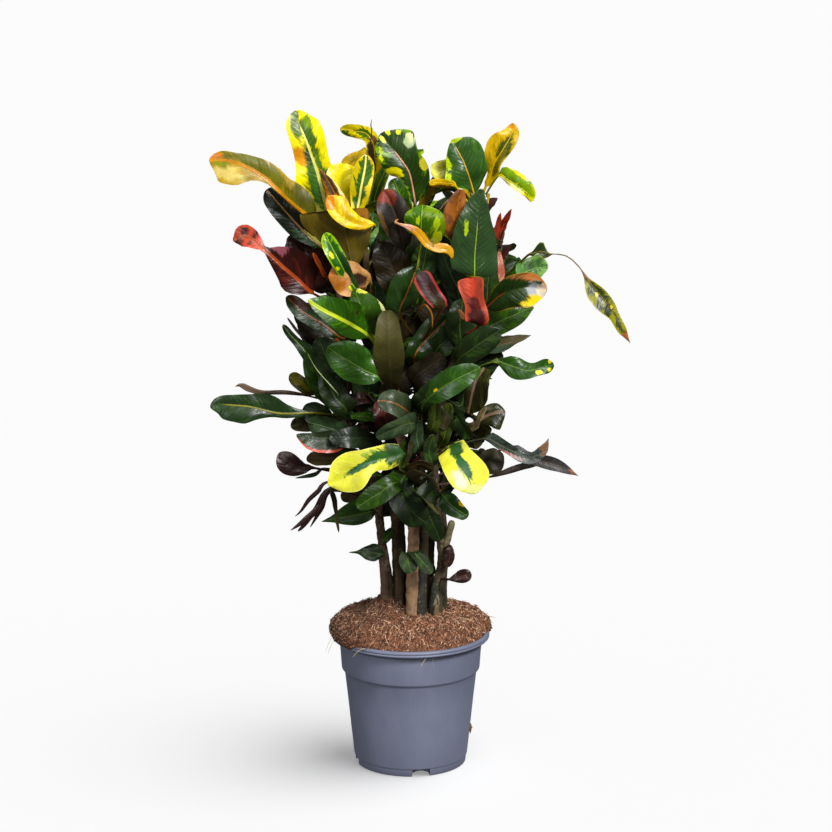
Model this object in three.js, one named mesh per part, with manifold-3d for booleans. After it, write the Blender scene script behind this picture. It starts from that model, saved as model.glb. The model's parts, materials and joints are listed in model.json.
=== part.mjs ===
// A potted croton: seven leafy stems standing in coir in a blue-grey nursery pot.
// Millimetres, +Z up. The pot stands on z = 0 with its axis on Z, and -Y is the front.
import * as THREE from 'three';
import { mergeVertices } from 'three/addons/utils/BufferGeometryUtils.js';
import Module from 'manifold-3d';

const wasm = await Module();
wasm.setup();

// Driving dimensions
const potHeight = 180;
const lipRadius = 105;        // outer radius of the flared lip
const bandTopRadius = 94.7;   // deep band under the lip
const bandFootRadius = 92.2;
const bandFoot = 130;         // height where the band ends in a small step
const bodyTopRadius = 87.3;
const bodyFootRadius = 75.3;
const footRadius = 71.6;      // inset ring that the pot stands on
const footHeight = 10;
const wall = 1.6;
const potSides = 40;
const gap = 0.35;             // clearance between pieces that touch
const soilEdge = 187;         // height of the coir beside the lip
const soilMiddle = 211;
const stemSides = 6;
const stemFoot = 150;         // lower end of each stem, down in the coir
const stemFree = 246;         // height below which the stems are straight
const stalkWidth = 3.2;
const stalkThickness = 2.8;
const bladeThickness = 1.5;
const leastWidth = 0.4;       // a leaf's width is never under this part of its full width or its stalk's
const bladeGrowth = 12;       // how much wider than its stalk a blade is once it is thin and waved
const usualStalk = 0.12;      // part of a leaf's length without a blade
const usualCup = 5;           // degrees by which a blade's edges are lifted
const tailFullness = 0.7;     // under 1 makes the blade beyond a neck fuller at its ends
const edgeLag = 0.4;          // part of a wave by which the right edge trails the left
const leastWave = 0.06;       // height of an edge's waves as a part of the half width
const mostWave = 0.2;

// The leaf rows give places across and up as seen from this standpoint, on the upright
// plane through the pot's axis, and how far behind that plane each point lies.
const standpoint = new THREE.Vector3(7, -3200, 1135);

// Stems: the arms of each plant, from the soil up, as [x, y, z] with the radius at both ends
const arms = {
  a1: { plant: 1, radii: [6.2, 3.4], path: [[-34, 3, 246], [-41, 1, 330], [-56, -8, 430], [-76, -20, 540],
    [-93, -29, 640], [-103, -32, 700], [-106, -34, 748]] },
  a1b: { plant: 1, radii: [4.4, 3], path: [[-53, -7, 415], [-72, -16, 444], [-88, -20, 470], [-98, -20, 505],
    [-102, -18, 545]] },
  a2: { plant: 2, radii: [6.4, 3.4], path: [[-17, 12, 246], [-20, 14, 330], [-30, 16, 450], [-43, 10, 560],
    [-55, 0, 650], [-62, -8, 735]] },
  a3: { plant: 3, radii: [6.4, 3.8], path: [[2, -22, 246], [3, -24, 340], [-11, -30, 425], [-20, -38, 510],
    [-27, -42, 575]] },
  a4: { plant: 4, radii: [6.2, 3.4], path: [[15, -6, 246], [18, -4, 320], [13, -2, 420], [7, -8, 530],
    [2, -16, 640], [3, -20, 742]] },
  a5: { plant: 5, radii: [6.6, 3.4], path: [[36, -9, 246], [42, -10, 285], [34, -11, 345], [32, -14, 430],
    [47, -22, 520], [66, -28, 610], [80, -30, 690], [86, -28, 756]] },
  stub: { plant: 5, radii: [4.4, 4.6], path: [[42, -10, 288], [48, -11, 304], [54, -12, 329]] },
  a6: { plant: 6, radii: [6, 3.2], path: [[-10, 36, 246], [-16, 44, 340], [-30, 66, 460], [-46, 86, 570],
    [-52, 92, 670]] },
  a7: { plant: 7, radii: [6, 3.2], path: [[22, 28, 246], [34, 40, 340], [62, 56, 450], [88, 58, 540],
    [106, 48, 620], [118, 36, 702]] },
};

// Leaves set by hand, the ones that show from the front. Each grows from an arm at the
// height `root` and runs through `path`, [across, up, depth] as seen, to its tip. `lean`
// and `twist` turn the blade about its midrib, `cup` lifts its edges, `stalk` is the part
// of its length without a blade, and `neck` is a bare stretch, with `tail` the width
// beyond it. Angles are in degrees.
const frontLeaves = [
  // Upper left
  { arm: 'a1', root: 738, path: [[-111, 762, -52], [-121, 800, -60], [-137, 836, -62], [-149, 872, -52]], width: 55 },
  { arm: 'a1', root: 702, path: [[-135, 741, -66], [-170, 784, -80], [-215, 797, -82], [-263, 803, -72]],
    width: 40, lean: 12, twist: 20 },
  { arm: 'a1', root: 668, path: [[-120, 694, -58], [-150, 727, -64], [-185, 768, -60]], width: 40, cup: 10 },
  { arm: 'a1', root: 618, path: [[-126, 636, -98], [-156, 664, -112], [-187, 694, -116], [-208, 704, -112],
    [-229, 704, -104]], width: 50, neck: [0.7, 0.74], tail: 30, lean: 8 },
  { arm: 'a2', root: 640, path: [[-72, 672, -88], [-82, 700, -104], [-84, 727, -108]], width: 58, lean: 170, cup: 8 },
  { arm: 'a2', root: 702, path: [[-50, 724, -98], [-80, 730, -112], [-113, 753, -104]], width: 25, stalk: 0.2 },
  { arm: 'a2', root: 722, path: [[-66, 748, -74], [-67, 778, -82], [-62, 814, -76]], width: 31, lean: -14, cup: 12 },
  { arm: 'a1', root: 744, path: [[-93, 758, -74], [-91, 778, -82], [-87, 802, -78]], width: 44, lean: 10 },
  { arm: 'a1', root: 728, path: [[-104, 748, -86], [-108, 768, -90], [-110, 790, -88]], width: 22, lean: 35 },
  { arm: 'a2', root: 732, path: [[-50, 790, -30], [-41, 812, -40], [-52, 833, -48], [-72, 840, -50], [-94, 842, -46]],
    width: 23, stalk: 0.3, twist: 40 },
  { arm: 'a1', root: 640, path: [[-86, 652, -84], [-101, 682, -94], [-112, 715, -92]], width: 26, cup: 16 },
  { arm: 'a1', root: 648, path: [[-112, 660, -66], [-121, 676, -74], [-132, 696, -72]], width: 16, lean: 20 },
  { arm: 'a1', root: 652, path: [[-124, 672, -36], [-140, 690, -40], [-158, 707, -38]], width: 22, lean: -20 },
  { arm: 'a2', root: 622, path: [[-60, 646, -76], [-72, 664, -94], [-93, 677, -92]], width: 32, lean: 30, cup: 24 },
  { arm: 'a2', root: 612, path: [[-72, 630, -70], [-92, 638, -84], [-107, 656, -84]], width: 24, lean: -30, cup: 20 },
  // Upper middle
  { arm: 'a4', root: 736, path: [[7, 752, -62], [4, 778, -72], [-4, 803, -76], [-17, 847, -66]],
    width: 34, neck: [0.53, 0.55], tail: 56 },
  { arm: 'a4', root: 650, path: [[-10, 690, -84], [-18, 726, -94], [-33, 772, -90]], width: 48, lean: 8 },
  { arm: 'a4', root: 650, path: [[8, 674, -108], [16, 704, -122], [21, 728, -126], [24, 751, -120]],
    width: 50, stalk: 0.42, cup: 6 },
  { arm: 'a4', root: 738, path: [[-14, 728, -112], [5, 718, -130], [26, 700, -136], [55, 684, -130]],
    width: 15, stalk: 0.2, lean: 40, twist: 60 },
  { arm: 'a4', root: 722, path: [[-8, 744, -18], [-14, 762, -22], [-22, 782, -20]], width: 24 },
  { arm: 'a4', root: 730, path: [[16, 746, 2], [22, 760, 6], [28, 778, 8]], width: 18 },
  { arm: 'a4', root: 600, path: [[14, 640, -60], [30, 664, -74], [45, 684, -72]], width: 34, lean: 20 },
  { arm: 'a4', root: 610, path: [[-6, 640, -30], [-24, 670, -44], [-44, 700, -46]], width: 36, lean: -15 },
  { arm: 'a2', root: 690, path: [[-55, 700, -46], [-50, 716, -52], [-48, 738, -50]], width: 18 },
  // Upper right
  { arm: 'a5', root: 746, path: [[80, 770, -56], [72, 798, -68], [58, 837, -62]], width: 56, cup: 6 },
  { arm: 'a5', root: 738, path: [[74, 758, -36], [64, 771, -44], [47, 778, -42]], width: 22, lean: -20 },
  { arm: 'a5', root: 750, path: [[68, 776, 8], [48, 790, 14], [25, 795, 12]], width: 24 },
  { arm: 'a5', root: 750, path: [[95, 776, -34], [106, 806, -42], [118, 830, -44], [132, 857, -40]],
    width: 40, lean: -18 },
  { arm: 'a5', root: 746, path: [[104, 783, -60], [122, 794, -68], [142, 780, -70], [158, 750, -66]],
    width: 31, stalk: 0.25, lean: 12 },
  { arm: 'a5', root: 676, path: [[76, 704, -82], [71, 730, -92], [69, 766, -90]], width: 40, lean: 165, cup: 20 },
  { arm: 'a5', root: 632, path: [[82, 668, -98], [85, 712, -108], [92, 769, -100]], width: 58, lean: -6 },
  { arm: 'a7', root: 696, path: [[114, 708, 10], [114, 722, 0], [117, 742, -6]], width: 13, lean: 30 },
  { arm: 'a7', root: 692, path: [[119, 706, 16], [126, 722, 10], [132, 746, 4]], width: 14, lean: -30 },
  { arm: 'a7', root: 610, path: [[110, 634, -22], [117, 658, -30], [114, 688, -26]], width: 10, lean: 20 },
  { arm: 'a7', root: 632, path: [[138, 668, 0], [162, 685, -20], [184, 687, -32], [204, 681, -42], [222, 659, -48],
    [248, 618, -54], [290, 563, -58]], width: 26, neck: [0.34, 0.56], tail: 22, lean: 10, twist: 50 },
  // Middle right
  { arm: 'a5', root: 594, path: [[98, 612, -74], [120, 632, -98], [150, 641, -114], [177, 640, -118]],
    width: 48, cup: 14, stalk: 0.3 },
  { arm: 'a7', root: 622, path: [[136, 648, -54], [156, 664, -72], [178, 668, -80]], width: 36, lean: 20 },
  { arm: 'a4', root: 556, path: [[30, 596, -122], [22, 628, -134], [9, 663, -124]], width: 27, cup: 38, stalk: 0.25 },
  { arm: 'a5', root: 578, path: [[84, 596, -118], [86, 622, -130], [78, 655, -126]], width: 36, cup: 40, stalk: 0.25 },
  { arm: 'a4', root: 578, path: [[-12, 602, -84], [-5, 630, -94], [6, 666, -90]], width: 44, lean: 10 },
  { arm: 'a4', root: 524, path: [[6, 552, -74], [23, 574, -84], [50, 602, -86]], width: 38, lean: 10 },
  { arm: 'a5', root: 508, path: [[58, 540, -88], [82, 561, -98], [117, 585, -98]], width: 42, lean: 8 },
  { arm: 'a5', root: 562, path: [[90, 584, -72], [120, 598, -80], [161, 614, -76]], width: 40, lean: -10 },
  { arm: 'a5', root: 546, path: [[96, 562, -54], [126, 570, -60], [161, 578, -56]], width: 28, lean: 150 },
  { arm: 'a5', root: 520, path: [[88, 540, -46], [125, 536, -58], [156, 529, -62], [190, 535, -56]],
    width: 31, stalk: 0.3, twist: 20 },
  { arm: 'a5', root: 494, path: [[74, 514, -62], [94, 512, -72], [110, 480, -74]], width: 34, lean: 10 },
  { arm: 'a5', root: 506, path: [[86, 524, -34], [102, 540, -38], [118, 556, -36]], width: 30, lean: -15 },
  { arm: 'a4', root: 462, path: [[20, 490, -98], [50, 514, -110], [91, 535, -108]], width: 35, lean: -8 },
  { arm: 'a5', root: 600, path: [[62, 636, -66], [52, 658, -78], [40, 690, -80]], width: 36, lean: -20 },
  // Middle left
  { arm: 'a3', root: 566, path: [[-50, 584, -66], [-60, 610, -74], [-74, 647, -72]], width: 40, lean: -14 },
  { arm: 'a3', root: 545, path: [[-56, 572, -102], [-96, 600, -118], [-138, 624, -120]], width: 46, lean: 6 },
  { arm: 'a1', root: 578, path: [[-115, 593, -74], [-141, 608, -82], [-166, 634, -82]], width: 35, lean: 10 },
  { arm: 'a1', root: 552, path: [[-97, 574, -56], [-120, 592, -62], [-148, 616, -60]], width: 37 },
  { arm: 'a1', root: 532, path: [[-104, 556, -40], [-124, 578, -46], [-143, 602, -44]], width: 30, lean: -12 },
  { arm: 'a3', root: 492, path: [[-27, 530, -108], [-29, 568, -120], [-30, 611, -116]], width: 38, lean: 175, cup: -8 },
  { arm: 'a3', root: 500, path: [[-38, 519, -96], [-74, 541, -116], [-113, 566, -120]], width: 54, lean: 4, cup: 6 },
  { arm: 'a1b', root: 490, path: [[-112, 518, -46], [-136, 552, -54], [-169, 596, -52]], width: 36 },
  { arm: 'a1b', root: 474, path: [[-125, 474, -52], [-168, 477, -62], [-214, 482, -66], [-268, 480, -62]],
    width: 38, stalk: 0.2 },
  { arm: 'a1b', root: 496, path: [[-132, 499, -18], [-170, 502, -22], [-206, 505, -24], [-230, 511, -22]], width: 11 },
  { arm: 'a1b', root: 503, path: [[-122, 508, -28], [-142, 516, -34], [-163, 526, -34]], width: 29, lean: 12 },
  { arm: 'a1b', root: 462, path: [[-112, 466, -32], [-136, 458, -38], [-161, 450, -36]], width: 26, lean: 160 },
  { arm: 'a2', root: 486, path: [[-60, 494, -42], [-78, 492, -50], [-96, 489, -48]], width: 19, lean: 30 },
  { arm: 'a2', root: 462, path: [[-72, 470, -26], [-94, 486, -34], [-108, 517, -34]], width: 26 },
  // Lower middle
  { arm: 'a4', root: 466, path: [[-8, 480, -84], [-24, 489, -96], [-43, 491, -94]], width: 36, lean: 14 },
  { arm: 'a4', root: 448, path: [[4, 461, -88], [-17, 455, -104], [-45, 442, -104]], width: 28, lean: -10 },
  { arm: 'a3', root: 424, path: [[-30, 450, -52], [-40, 470, -58], [-49, 494, -56]], width: 27, lean: 8 },
  { arm: 'a4', root: 438, path: [[2, 434, -74], [0, 422, -84], [-5, 408, -84]], width: 11 },
  { arm: 'a5', root: 462, path: [[20, 468, -52], [12, 456, -62], [10, 438, -64]], width: 18, lean: 20 },
  { arm: 'a5', root: 492, path: [[48, 486, -58], [46, 470, -66], [42, 452, -66]], width: 17 },
  { arm: 'a3', root: 416, path: [[-34, 420, -100], [-70, 404, -124], [-110, 386, -130]], width: 51, lean: 6 },
  { arm: 'a5', root: 418, path: [[46, 420, -78], [65, 402, -108], [85, 365, -126]], width: 57, lean: -6 },
  // Lower right
  { arm: 'a5', root: 426, path: [[72, 442, -62], [110, 436, -74], [146, 423, -76], [179, 444, -68]],
    width: 32, twist: 50 },
  { arm: 'a5', root: 450, path: [[76, 458, -56], [100, 470, -66], [126, 473, -64]], width: 36, lean: 12 },
  { arm: 'a5', root: 412, path: [[70, 432, -44], [97, 426, -52], [125, 402, -50]], width: 38, lean: 170 },
  { arm: 'a5', root: 392, path: [[92, 402, -40], [134, 410, -50], [176, 414, -52], [219, 389, -46]],
    width: 22, stalk: 0.2 },
  { arm: 'a5', root: 380, path: [[84, 390, -26], [124, 393, -32], [169, 406, -34]], width: 11 },
  { arm: 'a5', root: 362, path: [[42, 364, -62], [58, 352, -70], [80, 336, -68]], width: 34, lean: 10 },
  { arm: 'a4', root: 364, path: [[2, 390, -84], [20, 391, -96], [38, 371, -96]], width: 20, lean: 150 },
  { arm: 'a4', root: 340, path: [[14, 360, -58], [26, 352, -66], [37, 339, -66]], width: 30 },
  // Lower left
  { arm: 'a1', root: 426, path: [[-86, 434, -70], [-116, 437, -82], [-154, 447, -82]], width: 30, lean: -10 },
  { arm: 'a1', root: 404, path: [[-86, 412, -54], [-110, 413, -62], [-137, 413, -62]], width: 22, lean: 150 },
  { arm: 'a1', root: 386, path: [[-92, 401, -38], [-128, 401, -46], [-154, 403, -50], [-182, 413, -48]],
    width: 36, stalk: 0.45 },
  { arm: 'a1', root: 378, path: [[-104, 397, -18], [-128, 390, -22], [-152, 388, -22]], width: 9 },
  { arm: 'a2', root: 424, path: [[-54, 440, -28], [-78, 441, -38], [-107, 441, -40]], width: 28, lean: 12 },
  { arm: 'a1', root: 372, path: [[-98, 388, -48], [-130, 363, -56], [-151, 311, -54]], width: 15, stalk: 0.3 },
  { arm: 'a1', root: 364, path: [[-94, 380, -66], [-124, 351, -74], [-162, 314, -72]], width: 12, stalk: 0.3 },
  { arm: 'a1', root: 356, path: [[-96, 370, -34], [-117, 346, -38], [-136, 317, -36]], width: 11, stalk: 0.3 },
  { arm: 'a1', root: 346, path: [[-84, 370, -84], [-97, 350, -92], [-95, 309, -90]], width: 14, stalk: 0.3 },
  { arm: 'a1', root: 332, path: [[-60, 343, -48], [-86, 338, -58], [-121, 329, -58]], width: 28, lean: -12 },
  { arm: 'a3', root: 366, path: [[-18, 381, -94], [-42, 366, -106], [-71, 347, -108]], width: 28, lean: 14 },
  { arm: 'a2', root: 354, path: [[-16, 358, -74], [-28, 348, -82], [-40, 336, -82]], width: 28 },
  { arm: 'a1', root: 352, path: [[-56, 372, -70], [-74, 366, -80], [-92, 360, -80]], width: 26, lean: 165 },
  // Small leaves low on the stems
  { arm: 'a1', root: 281, path: [[-48, 285, -26], [-62, 285, -32], [-84, 286, -32]], width: 27, pointed: true },
  { arm: 'a1', root: 294, path: [[-36, 302, -14], [-30, 309, -18], [-23, 319, -18]], width: 13 },
  { arm: 'a3', root: 288, path: [[-2, 282, -50], [-3, 272, -58], [1, 258, -60]], width: 24 },
  { arm: 'a4', root: 286, path: [[14, 282, -44], [22, 272, -52], [31, 256, -52]], width: 13 },
  { arm: 'a5', root: 292, path: [[50, 294, -24], [52, 282, -28], [48, 266, -28]], width: 13 },
  { arm: 'a5', root: 252, path: [[48, 250, -34], [62, 251, -40], [82, 254, -42]], width: 22, stalk: 0.38 },
];

// Leaves set by rule, for the sides, the back and the inside of the crown: for each arm,
// how many, and the heights between which they grow
const ruleLeaves = [
  { arm: 'a1', count: 15, from: 350, to: 735 },
  { arm: 'a1b', count: 5, from: 440, to: 535 },
  { arm: 'a2', count: 18, from: 345, to: 728 },
  { arm: 'a4', count: 16, from: 350, to: 735 },
  { arm: 'a5', count: 17, from: 355, to: 748 },
  { arm: 'a6', count: 28, from: 345, to: 668 },
  { arm: 'a7', count: 28, from: 350, to: 698 },
];
const seed = 20261128;
const turnPerLeaf = 137.508;

// How near a blade may come to another, on another plant and on its own
const clearOther = 7.5;
const clearOwn = 5;
const latticeStep = 5;        // spacing of the points at which blades are compared
const nearRoot = 0.26;        // part of a leaf that may lie close to its own plant

// A leaf's length is followed in equal steps, and its blade is built at the given shares
const steps = 24;
const middleStep = 14;
const frontShares = [0, 0.14, 0.36, 0.58, 0.78, 0.94];
const ruleShares = [0, 0.14, 0.38, 0.64, 0.88];
const nearShares = [0.14, 0.45, 0.8, 1];      // of the stretch before a neck
const farShares = [0, 0.3, 0.66, 0.92];       // of the stretch beyond it

// Draws the same numbers in every run.
const drawFactor = 16807;
const drawRange = 2147483647;
function makeDraw(start) {
  let state = start;
  return (low, high) => {
    state = (state * drawFactor) % drawRange;
    return low + (high - low) * state / drawRange;
  };
}

const radians = THREE.MathUtils.degToRad;
const mix = THREE.MathUtils.lerp;
const up = new THREE.Vector3(0, 0, 1);

// The point that is seen at (across, height) from the standpoint and lies at the given depth.
function seen([across, height, depth]) {
  const share = (depth - standpoint.y) / -standpoint.y;
  return new THREE.Vector3(
    standpoint.x + (across - standpoint.x) * share,
    depth,
    standpoint.z + (height - standpoint.z) * share,
  );
}

// An arm's centre line from the soil up, and the point on it at a height.
const armSteps = 40;
for (const arm of Object.values(arms)) {
  const curve = new THREE.CatmullRomCurve3(arm.path.map((p) => new THREE.Vector3(...p)), false, 'catmullrom', 0.5);
  arm.line = curve.getSpacedPoints(armSteps);
}

function pointOnArm(arm, height) {
  const line = arm.line;
  let i = 0;
  while (i < armSteps - 1 && line[i + 1].z < height) i += 1;
  const share = (height - line[i].z) / (line[i + 1].z - line[i].z);
  return new THREE.Vector3().lerpVectors(line[i], line[i + 1], THREE.MathUtils.clamp(share, 0, 1));
}

// A leaf's midrib in equal steps, with the direction that its upper face looks at each step.
function makeMidrib(points, face, lean, twist) {
  const line = new THREE.CatmullRomCurve3(points, false, 'catmullrom', 0.5).getSpacedPoints(steps);
  const along = line.map((p, i) => new THREE.Vector3()
    .subVectors(line[Math.min(i + 1, steps)], line[Math.max(i - 1, 0)]).normalize());
  const faces = [];
  const flatten = (v, i) => v.clone().addScaledVector(along[i], -v.dot(along[i])).normalize();
  faces[middleStep] = flatten(face, middleStep);
  for (let i = middleStep + 1; i <= steps; i += 1) faces[i] = flatten(faces[i - 1], i);
  for (let i = middleStep - 1; i >= 0; i -= 1) faces[i] = flatten(faces[i + 1], i);
  faces.forEach((v, i) => v.applyAxisAngle(along[i], radians(lean + twist * (i - middleStep) / steps)));
  return { line, along, faces };
}

// The outline of a blade that is widest beyond its middle and round at its end, from 0 to 1.
const rise = 1.0;
const fall = 0.42;
const fullest = (rise / (rise + fall)) ** rise * (fall / (rise + fall)) ** fall;
function outline(t, pointed) {
  if (t <= 0 || t >= 1) return 0;
  if (pointed) return Math.sin(Math.PI * Math.sqrt(t)) ** 1.5;
  return t ** rise * (1 - t) ** fall / fullest;
}

function widthAt(leaf, s) {
  const stalk = leaf.stalk ?? usualStalk;
  let body;
  if (leaf.neck && s >= leaf.neck[1]) {
    body = leaf.tail * outline((s - leaf.neck[1]) / (1 - leaf.neck[1]), false) ** tailFullness;
  } else {
    const end = leaf.neck ? leaf.neck[0] : 1;
    body = leaf.width * outline((s - stalk) / (end - stalk), leaf.pointed);
  }
  return Math.max(body, Math.min(stalkWidth, leaf.width * leastWidth));
}

// The four points round a blade at a share of its length: left edge, top, right edge, underside.
function sectionAt(leaf, s) {
  const place = s * steps;
  const i = Math.min(Math.floor(place), steps - 1);
  const share = place - i;
  const { line, along, faces } = leaf.midrib;
  const middle = new THREE.Vector3().lerpVectors(line[i], line[i + 1], share);
  const ahead = new THREE.Vector3().lerpVectors(along[i], along[i + 1], share).normalize();
  const out = new THREE.Vector3().lerpVectors(faces[i], faces[i + 1], share);
  out.addScaledVector(ahead, -out.dot(ahead)).normalize();
  const side = new THREE.Vector3().crossVectors(ahead, out);
  const half = widthAt(leaf, s) / 2;
  const blade = Math.min(1, Math.max(0, half * 2 - stalkWidth) / bladeGrowth);
  const cup = radians(leaf.cup ?? usualCup);
  const across = half * Math.cos(cup * blade);
  const lift = half * Math.sin(cup * blade);
  const waveAt = (turn) => half * leaf.wave * blade * Math.sin(2 * Math.PI * (leaf.waves * s + turn));
  const thickness = mix(stalkThickness, bladeThickness, blade) / 2;
  const offset = (sideways, outward) => middle.clone().addScaledVector(side, sideways).addScaledVector(out, outward);
  return [
    offset(-across, lift + waveAt(leaf.phase)),
    offset(0, thickness),
    offset(across, lift + waveAt(leaf.phase + edgeLag)),
    offset(0, -thickness),
  ];
}

function finishLeaf(leaf, points, face, shares, draw) {
  leaf.midrib = makeMidrib(points, face, leaf.lean ?? 0, leaf.twist ?? 0);
  leaf.wave = draw(leastWave, mostWave);
  leaf.waves = draw(1.3, 2.3);
  leaf.phase = draw(0, 1);
  leaf.shares = shares;
  if (leaf.neck) {
    leaf.shares = [0, ...nearShares.map((t) => t * leaf.neck[0]), ...farShares.map((t) => mix(leaf.neck[1], 1, t))];
  }
  return leaf;
}

function buildRings(leaf) {
  leaf.rings = leaf.shares.map((s) => sectionAt(leaf, s));
  leaf.tip = leaf.midrib.line[steps];
  return leaf;
}

// Points spread over a blade, for comparing it with the others.
function bladePoints(leaf) {
  const points = [];
  const tipRing = [leaf.tip, leaf.tip, leaf.tip, leaf.tip];
  const rings = [...leaf.rings, tipRing];
  const shares = [...leaf.shares, 1];
  for (let k = 0; k + 1 < rings.length; k += 1) {
    const [a, b] = [rings[k], rings[k + 1]];
    const length = a[1].distanceTo(b[1]);
    const width = Math.max(a[0].distanceTo(a[2]), b[0].distanceTo(b[2])) / 2;
    const rows = Math.max(1, Math.ceil(length / latticeStep));
    const columns = Math.max(1, Math.ceil(width / latticeStep));
    for (let row = 0; row < rows; row += 1) {
      const along = (row + 0.5) / rows;
      const left = new THREE.Vector3().lerpVectors(a[0], b[0], along);
      const middle = new THREE.Vector3().lerpVectors(a[1], b[1], along);
      const right = new THREE.Vector3().lerpVectors(a[2], b[2], along);
      const s = mix(shares[k], shares[k + 1], along);
      for (let column = -columns; column <= columns; column += 1) {
        const edge = column < 0 ? left : right;
        const at = new THREE.Vector3().lerpVectors(middle, edge, Math.abs(column) / columns);
        points.push({ at, root: s < nearRoot });
      }
    }
  }
  return points;
}

// What stands already, kept in boxes so that only neighbours are compared.
const taken = new Map();
const boxOf = (v) => [v.x, v.y, v.z].map((c) => Math.floor(c / clearOther));
function take(points, plant) {
  for (const { at, root } of points) {
    const key = boxOf(at).join();
    if (!taken.has(key)) taken.set(key, []);
    taken.get(key).push({ at, root, plant });
  }
}

function isClear(points, plant) {
  for (const { at, root } of points) {
    const [bx, by, bz] = boxOf(at);
    for (let dx = -1; dx <= 1; dx += 1) {
      for (let dy = -1; dy <= 1; dy += 1) {
        for (let dz = -1; dz <= 1; dz += 1) {
          for (const other of taken.get([bx + dx, by + dy, bz + dz].join()) ?? []) {
            const own = other.plant === plant;
            if (own && (root || other.root)) continue;
            const reach = own ? clearOwn : clearOther;
            if (at.distanceToSquared(other.at) < reach * reach) return false;
          }
        }
      }
    }
  }
  return true;
}

// Each arm's bark takes its place first.
const barkStep = 5;
const barkPoints = 6;
for (const arm of Object.values(arms)) {
  const points = [];
  const length = arm.line.slice(1).reduce((sum, p, i) => sum + p.distanceTo(arm.line[i]), 0);
  const rows = Math.ceil(length / barkStep);
  for (let row = 0; row <= rows; row += 1) {
    const place = row / rows * armSteps;
    const i = Math.min(Math.floor(place), armSteps - 1);
    const centre = new THREE.Vector3().lerpVectors(arm.line[i], arm.line[i + 1], place - i);
    const radius = mix(...arm.radii, row / rows);
    for (let k = 0; k < barkPoints; k += 1) {
      const turn = 2 * Math.PI * k / barkPoints;
      const at = centre.clone().add(new THREE.Vector3(Math.cos(turn), Math.sin(turn), 0).multiplyScalar(radius));
      points.push({ at, root: true });
    }
  }
  take(points, arm.plant);
}

const leaves = [];
const frontFace = new THREE.Vector3(0, -1, 0.3);
const shiftStep = 8;
const shiftCount = 14;
const draw = makeDraw(seed);

// A leaf set by hand moves nearer or farther in small steps until it is clear.
for (const row of frontLeaves) {
  const arm = arms[row.arm];
  const root = pointOnArm(arm, row.root);
  const traits = finishLeaf({ ...row }, [root, ...row.path.map(seen)], frontFace, frontShares, draw);
  for (let turn = 0; turn <= 2 * shiftCount; turn += 1) {
    const shift = Math.ceil(turn / 2) * shiftStep * (turn % 2 ? 1 : -1);
    const path = row.path.map(([x, z, depth], i) => seen([x, z, depth + shift * Math.min(1, (i + 1) / 2)]));
    const midrib = makeMidrib([root, ...path], frontFace, row.lean ?? 0, row.twist ?? 0);
    const leaf = buildRings({ ...traits, midrib });
    const points = bladePoints(leaf);
    if (isClear(points, arm.plant)) {
      take(points, arm.plant);
      leaves.push(leaf);
      break;
    }
  }
}

// The crown's outline as seen from the front, [height, left, right], and its depth.
const crown = [[318, -20, 20], [350, -62, 58], [400, -104, 96], [450, -112, 104], [500, -106, 98], [550, -128, 118],
  [620, -140, 138], [680, -138, 134], [730, -128, 104], [780, -112, 92], [820, -70, 78], [850, -10, 10]];
const crownFront = -45;
const crownBack = 185;

function insideCrown(point) {
  if (point.y < crownFront || point.y > crownBack) return false;
  const share = -standpoint.y / (point.y - standpoint.y);
  const across = standpoint.x + (point.x - standpoint.x) * share;
  const height = standpoint.z + (point.z - standpoint.z) * share;
  let i = 0;
  while (i < crown.length - 2 && crown[i + 1][0] < height) i += 1;
  const [low, high] = [crown[i], crown[i + 1]];
  const t = (height - low[0]) / (high[0] - low[0]);
  return t >= 0 && t <= 1 && across > mix(low[1], high[1], t) && across < mix(low[2], high[2], t);
}

// A leaf set by rule turns, tips and shortens until it is clear and inside the crown.
const turns = [0, 28, -28, 56, -56, 90, -90, 130, -130, 180];
const tips = [0, 20, -20];
const sizes = [1, 0.8, 0.62];
let turnSoFar = 0;
for (const row of ruleLeaves) {
  const arm = arms[row.arm];
  for (let k = 0; k < row.count; k += 1) {
    turnSoFar += turnPerLeaf;
    const share = (k + 0.5) / row.count;
    const root = pointOnArm(arm, mix(row.from, row.to, share));
    const length = draw(118, 172);
    const climb = mix(8, 58, share * share) + draw(-12, 12);
    const droop = draw(18, 52);
    const traits = { arm: row.arm, width: length * draw(0.22, 0.3), cup: draw(-4, 16), lean: draw(-25, 25),
      twist: draw(-50, 50) };
    const tries = sizes.flatMap((size) => tips.flatMap((tip) => turns.map((turn) => [size, tip, turn])));
    const upright = [root, root.clone().add(up)];
    const shape = finishLeaf({ ...traits }, upright, new THREE.Vector3(1, 0, 0), ruleShares, draw);
    for (const [size, tip, turn] of tries) {
      const heading = radians(turnSoFar + turn);
      const points = [root];
      for (const bend of [12, 0, -droop]) {
        const rising = radians(climb + tip + bend);
        const ahead = new THREE.Vector3(Math.cos(heading) * Math.cos(rising), Math.sin(heading) * Math.cos(rising),
          Math.sin(rising));
        points.push(points[points.length - 1].clone().addScaledVector(ahead, length * size / 3));
      }
      if (!insideCrown(points[2]) || !insideCrown(points[3])) continue;
      const face = new THREE.Vector3(Math.cos(heading) * 0.4, Math.sin(heading) * 0.4, 1);
      const leaf = buildRings({ ...shape, width: traits.width * Math.sqrt(size),
        midrib: makeMidrib(points, face, traits.lean, traits.twist) });
      const lattice = bladePoints(leaf);
      if (isClear(lattice, arm.plant)) {
        take(lattice, arm.plant);
        leaves.push(leaf);
        break;
      }
    }
  }
}

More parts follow.
